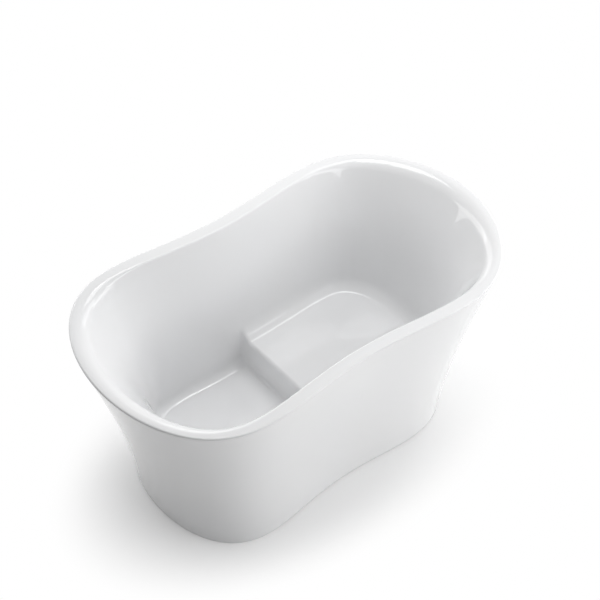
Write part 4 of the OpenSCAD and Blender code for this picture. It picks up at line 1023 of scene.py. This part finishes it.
def flat_sided_nut(low, high, across, bore, floor_bore, floor_h, flats=8):
    """A moulded union nut: open at its top, with a floor that hooks under what it pulls up."""
    corner = across / 2 / math.cos(math.pi / flats)
    step = corner - across / 2 + 0.4
    return lathe([(floor_bore, low + 0.5), (floor_bore + 0.5, low), (corner - step - 1.2, low),
                  (corner - step * 0.5, low + 0.8), (corner, low + 2.6), (corner, high - 1.4),
                  (corner - step * 0.5, high - 0.5), (corner - step, high), (bore + 0.6, high),
                  (bore, high - 0.6), (bore, low + floor_h + 0.4), (bore - 0.4, low + floor_h),
                  (floor_bore, low + floor_h)], 96, True, (flats, across))


on_waste("union_nut", flat_sided_nut(*heights("tee_union_nut"), 57.8, 24.2, 20.3, 4),
         white_plastic, "white_plastic", "tee_union_nut")
low, high = heights("outlet_pipe")
on_waste("outlet_tail", lathe([(18, low + 0.5), (18.5, low), (19.5, low), (20, low + 0.5),
                               (20, low + 7.5), (19.5, low + 8), (19.5, high - 0.4), (19.1, high),
                               (18.4, high), (18, high - 0.4)], 72, True),
         white_plastic, "white_plastic", "outlet_pipe")
on_waste("outlet_seal_ring", soft_ring(19.8, 23.5, *heights("outlet_seal")), rubber, "rubber_seals",
         "outlet_seal")
on_waste("outlet_gland_nut", flat_sided_nut(*heights("outlet_nut"), 56, 24.3, 19.8, 4),
         white_plastic, "white_plastic", "outlet_nut")


# Overflow
# A dished chromed cover, open at its lower edge, is pulled on to the bath's wall by one screw into
# the plastic elbow behind it. A bent pipe in slip nuts leads from the elbow down to the tee.

WALL_BACK, SEAL_T, STUB_L = 5.163, 3, 40
SEAL_BACK = WALL_BACK + SEAL_T
stub_z = -(SEAL_BACK + 20.5)


def at_overflow(shape):
    return moved(shape, overflow, overflow_turn)


cover = piece("cover", *lathe([(2.5, 5), (26.4, 5), (27, 4.4), (27, -1.2), (30, -1.2), (30, 5.6),
                               (29.7, 6.8), (28.9, 7.8), (27.6, 8.5), (25.6, 8.9), (22, 9), (5.4, 9),
                               (5, 8.9), (2.5, 6.6)], 96, True), chrome)
mouth = [(-16.5, -3), (16.5, -3), (16.5, 2.2), (14.9, 3.8), (-14.9, 3.8), (-16.5, 2.2)]
cut(cover, piece("cutter", [(x, y, z) for y in (20, 40) for x, z in mouth],
                 joined(2, len(mouth)), chrome))
fitting("overflow_dish", at_overflow(set_as_shape(cover)), chrome, "chrome_trim", "overflow_cover")

tip = -SEAL_BACK - 12
head = lathe([(0, tip), (1.2, tip), (2.1, tip + 1.5)] + threaded(2.1, tip + 2, 4, 1.4, 0.5)
             + [(2.1, 7.1), (4.6, 8.9), (4.5, 9.05), (0, 9.15)], 40, False, None, 1.4)
head = piece("head", *head, chrome)
for blade in cross_recess(9.1, 2.4, 1.4):
    cut(head, piece("blade", *blade, chrome))
fitting("overflow_screw_head", at_overflow(set_as_shape(head)), chrome, "chrome_trim", "overflow_screw")
fitting("overflow_seal_ring", at_overflow(soft_ring(20, 26, -SEAL_BACK, -WALL_BACK)), rubber,
        "rubber_seals", "overflow_seal")

z = -SEAL_BACK
chamber = piece("chamber", *lathe([(0, z - 34), (21.4, z - 34), (22.6, z - 33.5), (23, z - 32.4),
                                   (23, z - 5.2), (23.4, z - 4.3), (24.2, z - 4), (25.5, z - 4),
                                   (26, z - 3.5), (26, z - 0.5), (25.5, z), (20.5, z), (20, z - 0.5),
                                   (20, z - 30), (19, z - 31), (0, z - 31)], 96), white_plastic)
down_wall = Matrix.Rotation(-math.pi / 2, 4, "X")
cut(chamber, side_bore(8, (0, 0, stub_z), down_wall))
stub = slip_socket([(PIPE_BORE, 17.5), (SLIP_R, 17.5), (SLIP_R, 23.5)], 24.5, STUB_L, 25.7)
stub = moved(stub, (0, 0, stub_z), down_wall)
hub = lathe([(2.3, z - 14), (5.5, z - 14), (6, z - 13.5), (6, z - 2.5), (5.5, z - 2), (2.3, z - 2)],
            40, True)
bars = [spoke(2.5, 3, z - 11, side * 5.5, side * 20.6) for side in (-1, 1)]
fitting("elbow_body", at_overflow(gathered([set_as_shape(chamber), stub, hub] + bars)), white_plastic,
        "white_plastic", "overflow_elbow")


def upper_slip(shape):
    return at_overflow(moved(shape, (0, STUB_L, stub_z), down_wall))


def lower_slip(shape):
    return moved(shape, (DRAIN_X, -TEE_BRANCH_L, branch_z), towards_near)


def bend(before, corner, after, r):
    """Places and directions round the bend between two straight lengths that meet at a corner."""
    u = (corner - before) / np.linalg.norm(corner - before)
    v = (after - corner) / np.linalg.norm(after - corner)
    turn = math.acos(float(u @ v))
    n = v - u * (u @ v)
    n /= np.linalg.norm(n)
    middle = corner - u * r * math.tan(turn / 2) + n * r
    return [(middle - n * r * math.cos(t) + u * r * math.sin(t), u * math.cos(t) + n * math.sin(t))
            for t in np.linspace(0, turn, 13)]


def down_from_overflow(y, z):
    return np.array([OVERFLOW_Y - y * math.sin(OVERFLOW_LEAN) - z * math.cos(OVERFLOW_LEAN),
                     OVERFLOW_Z - y * math.cos(OVERFLOW_LEAN) + z * math.sin(OVERFLOW_LEAN)])


PIPE_LEAN, PIPE_SIDES = math.radians(8), 40
LOWER_BEND_R, UPPER_BEND_R = 50, 80
start = np.array([38.0, branch_z])
end = down_from_overflow(26, stub_z)
corner_2 = down_from_overflow(62, stub_z)
corner_1 = np.array([corner_2[0] - (corner_2[1] - branch_z) * math.tan(PIPE_LEAN), branch_z])
path = [(start, (corner_1 - start) / np.linalg.norm(corner_1 - start))]
path += bend(start, corner_1, corner_2, LOWER_BEND_R) + bend(corner_1, corner_2, end, UPPER_BEND_R)
path.append((end, (end - corner_2) / np.linalg.norm(end - corner_2)))
rows = []
for r, stations in ((PIPE_R, path), (PIPE_BORE, path[::-1])):
    for place, run in stations:
        for t in np.arange(PIPE_SIDES) * 2 * math.pi / PIPE_SIDES:
            rows.append((DRAIN_X - r * math.sin(t), -place[0] + run[1] * r * math.cos(t),
                         place[1] + run[0] * r * math.cos(t)))
fitting("overflow_bent_pipe", (rows, joined(len(rows) // PIPE_SIDES, PIPE_SIDES, True)),
        white_plastic, "white_plastic", "overflow_pipe")
slip_nut = flat_sided_nut(-9, 9, 39, 15.8, 12.8, 4)
slip_nut = moved(slip_nut, (0, 0, 0), Matrix.Rotation(math.pi, 4, "X"))
slip_nut = moved(slip_nut, (0, 0, 0), Matrix.Rotation(math.pi / 8, 4, "Z"))
fitting("upper_slip_nut", upper_slip(slip_nut), white_plastic, "white_plastic", "overflow_nut_upper")
fitting("lower_slip_nut", lower_slip(slip_nut), white_plastic, "white_plastic", "overflow_nut_lower")
slip_seal = soft_ring(12.8, 15.25, 0, 5)
fitting("slip_seal_rings", gathered([upper_slip(slip_seal), lower_slip(slip_seal)]), rubber,
        "rubber_seals", "overflow_pipe_seals")


# Camera
# A long lens that looks down on the tub from beyond its near foot end. Its shifts set the tub
# where it stands in the picture.

turn_deg, tilt_deg, reach_m = -38.66, 46.57, 5.2498
target = Vector((0.010, 0.0506, 0.300))
a, e = math.radians(turn_deg), math.radians(tilt_deg)
back_dir = Vector((math.sin(a) * math.cos(e), -math.cos(a) * math.cos(e), math.sin(e)))
lens = bpy.data.cameras.new("camera")
lens.sensor_width = 36
lens.lens = 107.88
lens.shift_x = 0.0258
lens.shift_y = 0.0825
lens.clip_end = 50
camera = bpy.data.objects.new("camera", lens)
camera.location = target + back_dir * reach_m
camera.rotation_euler = back_dir.to_track_quat("Z", "Y").to_euler()
bpy.context.scene.collection.objects.link(camera)
bpy.context.scene.camera = camera


# Floor and light
# A pale studio floor that fades to white outside the tub's soft shadow. Seven softboxes stand
# over it, round the seat's end, in front and behind, and none stands beyond the foot end.

floor_mesh = bpy.data.meshes.new("floor")
work = bmesh.new()
bmesh.ops.create_grid(work, x_segments=8, y_segments=8, size=6)
work.to_mesh(floor_mesh)
work.free()
floor = bpy.data.objects.new("floor", floor_mesh)
floor.location.z = -0.0003
bpy.context.scene.collection.objects.link(floor)
pale = bpy.data.materials.new("pale_floor")
pale.use_nodes = True
tree = pale.node_tree
shader = tree.nodes["Principled BSDF"]
shader.inputs["Roughness"].default_value = 0.7
shader.inputs["Base Color"].default_value = (0.93, 0.93, 0.93, 1)
SHADOW_HALF = (0.55, 0.34)
FADE_FROM, FADE_TO, GLOW_NEAR, GLOW_FAR = 0.85, 1.5, 0.15, 1.0
WHITE = (1, 1, 1, 1)


def seen_rays(tree):
    """One where the camera, a reflection or clear material looks straight at the surface."""
    rays = add_node(tree, "LightPath", {}).outputs
    first = add_node(tree, "Math", {0: rays["Is Camera Ray"], 1: rays["Is Glossy Ray"]},
                     operation="ADD")
    both = add_node(tree, "Math", {0: first.outputs["Value"], 1: rays["Is Transmission Ray"]},
                    operation="ADD", use_clamp=True)
    return both.outputs["Value"]


glow = add_node(tree, "Emission", {"Color": WHITE, "Strength": 1.0})
place = add_node(tree, "NewGeometry", {})
oval = add_node(tree, "Mapping", {"Vector": place.outputs["Position"],
                                  "Scale": (1 / SHADOW_HALF[0], 1 / SHADOW_HALF[1], 1)})
distance = add_node(tree, "VectorMath", {0: oval.outputs["Vector"]}, operation="LENGTH")
spread = add_node(tree, "MapRange", {"Value": distance.outputs["Value"], "From Min": FADE_FROM,
                                     "From Max": FADE_TO, "To Min": GLOW_NEAR, "To Max": GLOW_FAR},
                  interpolation_type="SMOOTHSTEP")
fade = add_node(tree, "Math", {0: seen_rays(tree), 1: spread.outputs["Result"]}, operation="MULTIPLY")
blend = add_node(tree, "MixShader", {"Fac": fade.outputs["Value"], 1: shader.outputs["BSDF"],
                                     2: glow.outputs["Emission"]})
feed(tree, tree.nodes["Material Output"], {"Surface": blend.outputs["Shader"]})
floor_mesh.materials.append(pale)

world = bpy.data.worlds.new("studio")
bpy.context.scene.world = world
world.use_nodes = True
tree = world.node_tree
sky = tree.nodes["Background"]
feed(tree, sky, {"Color": WHITE, "Strength": 0.2})
seen = add_node(tree, "Background", {"Color": WHITE, "Strength": 1.0})
pick = add_node(tree, "MixShader", {"Fac": seen_rays(tree), 1: sky.outputs["Background"],
                                    2: seen.outputs["Background"]})
feed(tree, tree.nodes["World Output"], {"Surface": pick.outputs["Shader"]})

# Each softbox: its direction from the tub in degrees, its width and height in metres, its watts
SOFTBOX_REACH = 3.0
tub_middle = Vector((0, 0, 0.35))
for name, turn, tilt, width, height, power in (
        ("seat_side_low", 324, 12, 2.4, 1.0, 21.0), ("front", 288, 28, 2.2, 1.2, 26.0),
        ("seat_end", 0, 30, 2.0, 1.2, 14.0), ("key", 9, 62, 1.1, 1.1, 14.0),
        ("overhead", 55, 76, 1.2, 1.2, 23.0), ("behind_seat_side", 72, 25, 2.0, 1.2, 14.0),
        ("behind", 108, 28, 2.2, 1.2, 21.0)):
    turn, tilt = math.radians(turn), math.radians(tilt)
    out = Vector((math.cos(tilt) * math.cos(turn), math.cos(tilt) * math.sin(turn), math.sin(tilt)))
    lamp = bpy.data.lights.new(name, "AREA")
    lamp.shape = "RECTANGLE"
    lamp.size = width
    lamp.size_y = height
    lamp.energy = power
    box = bpy.data.objects.new(name, lamp)
    box.location = tub_middle + out * SOFTBOX_REACH
    box.rotation_euler = out.to_track_quat("Z", "Y").to_euler()
    box.visible_camera = False
    bpy.context.scene.collection.objects.link(box)

view = bpy.context.scene.view_settings
view.view_transform = "Standard"
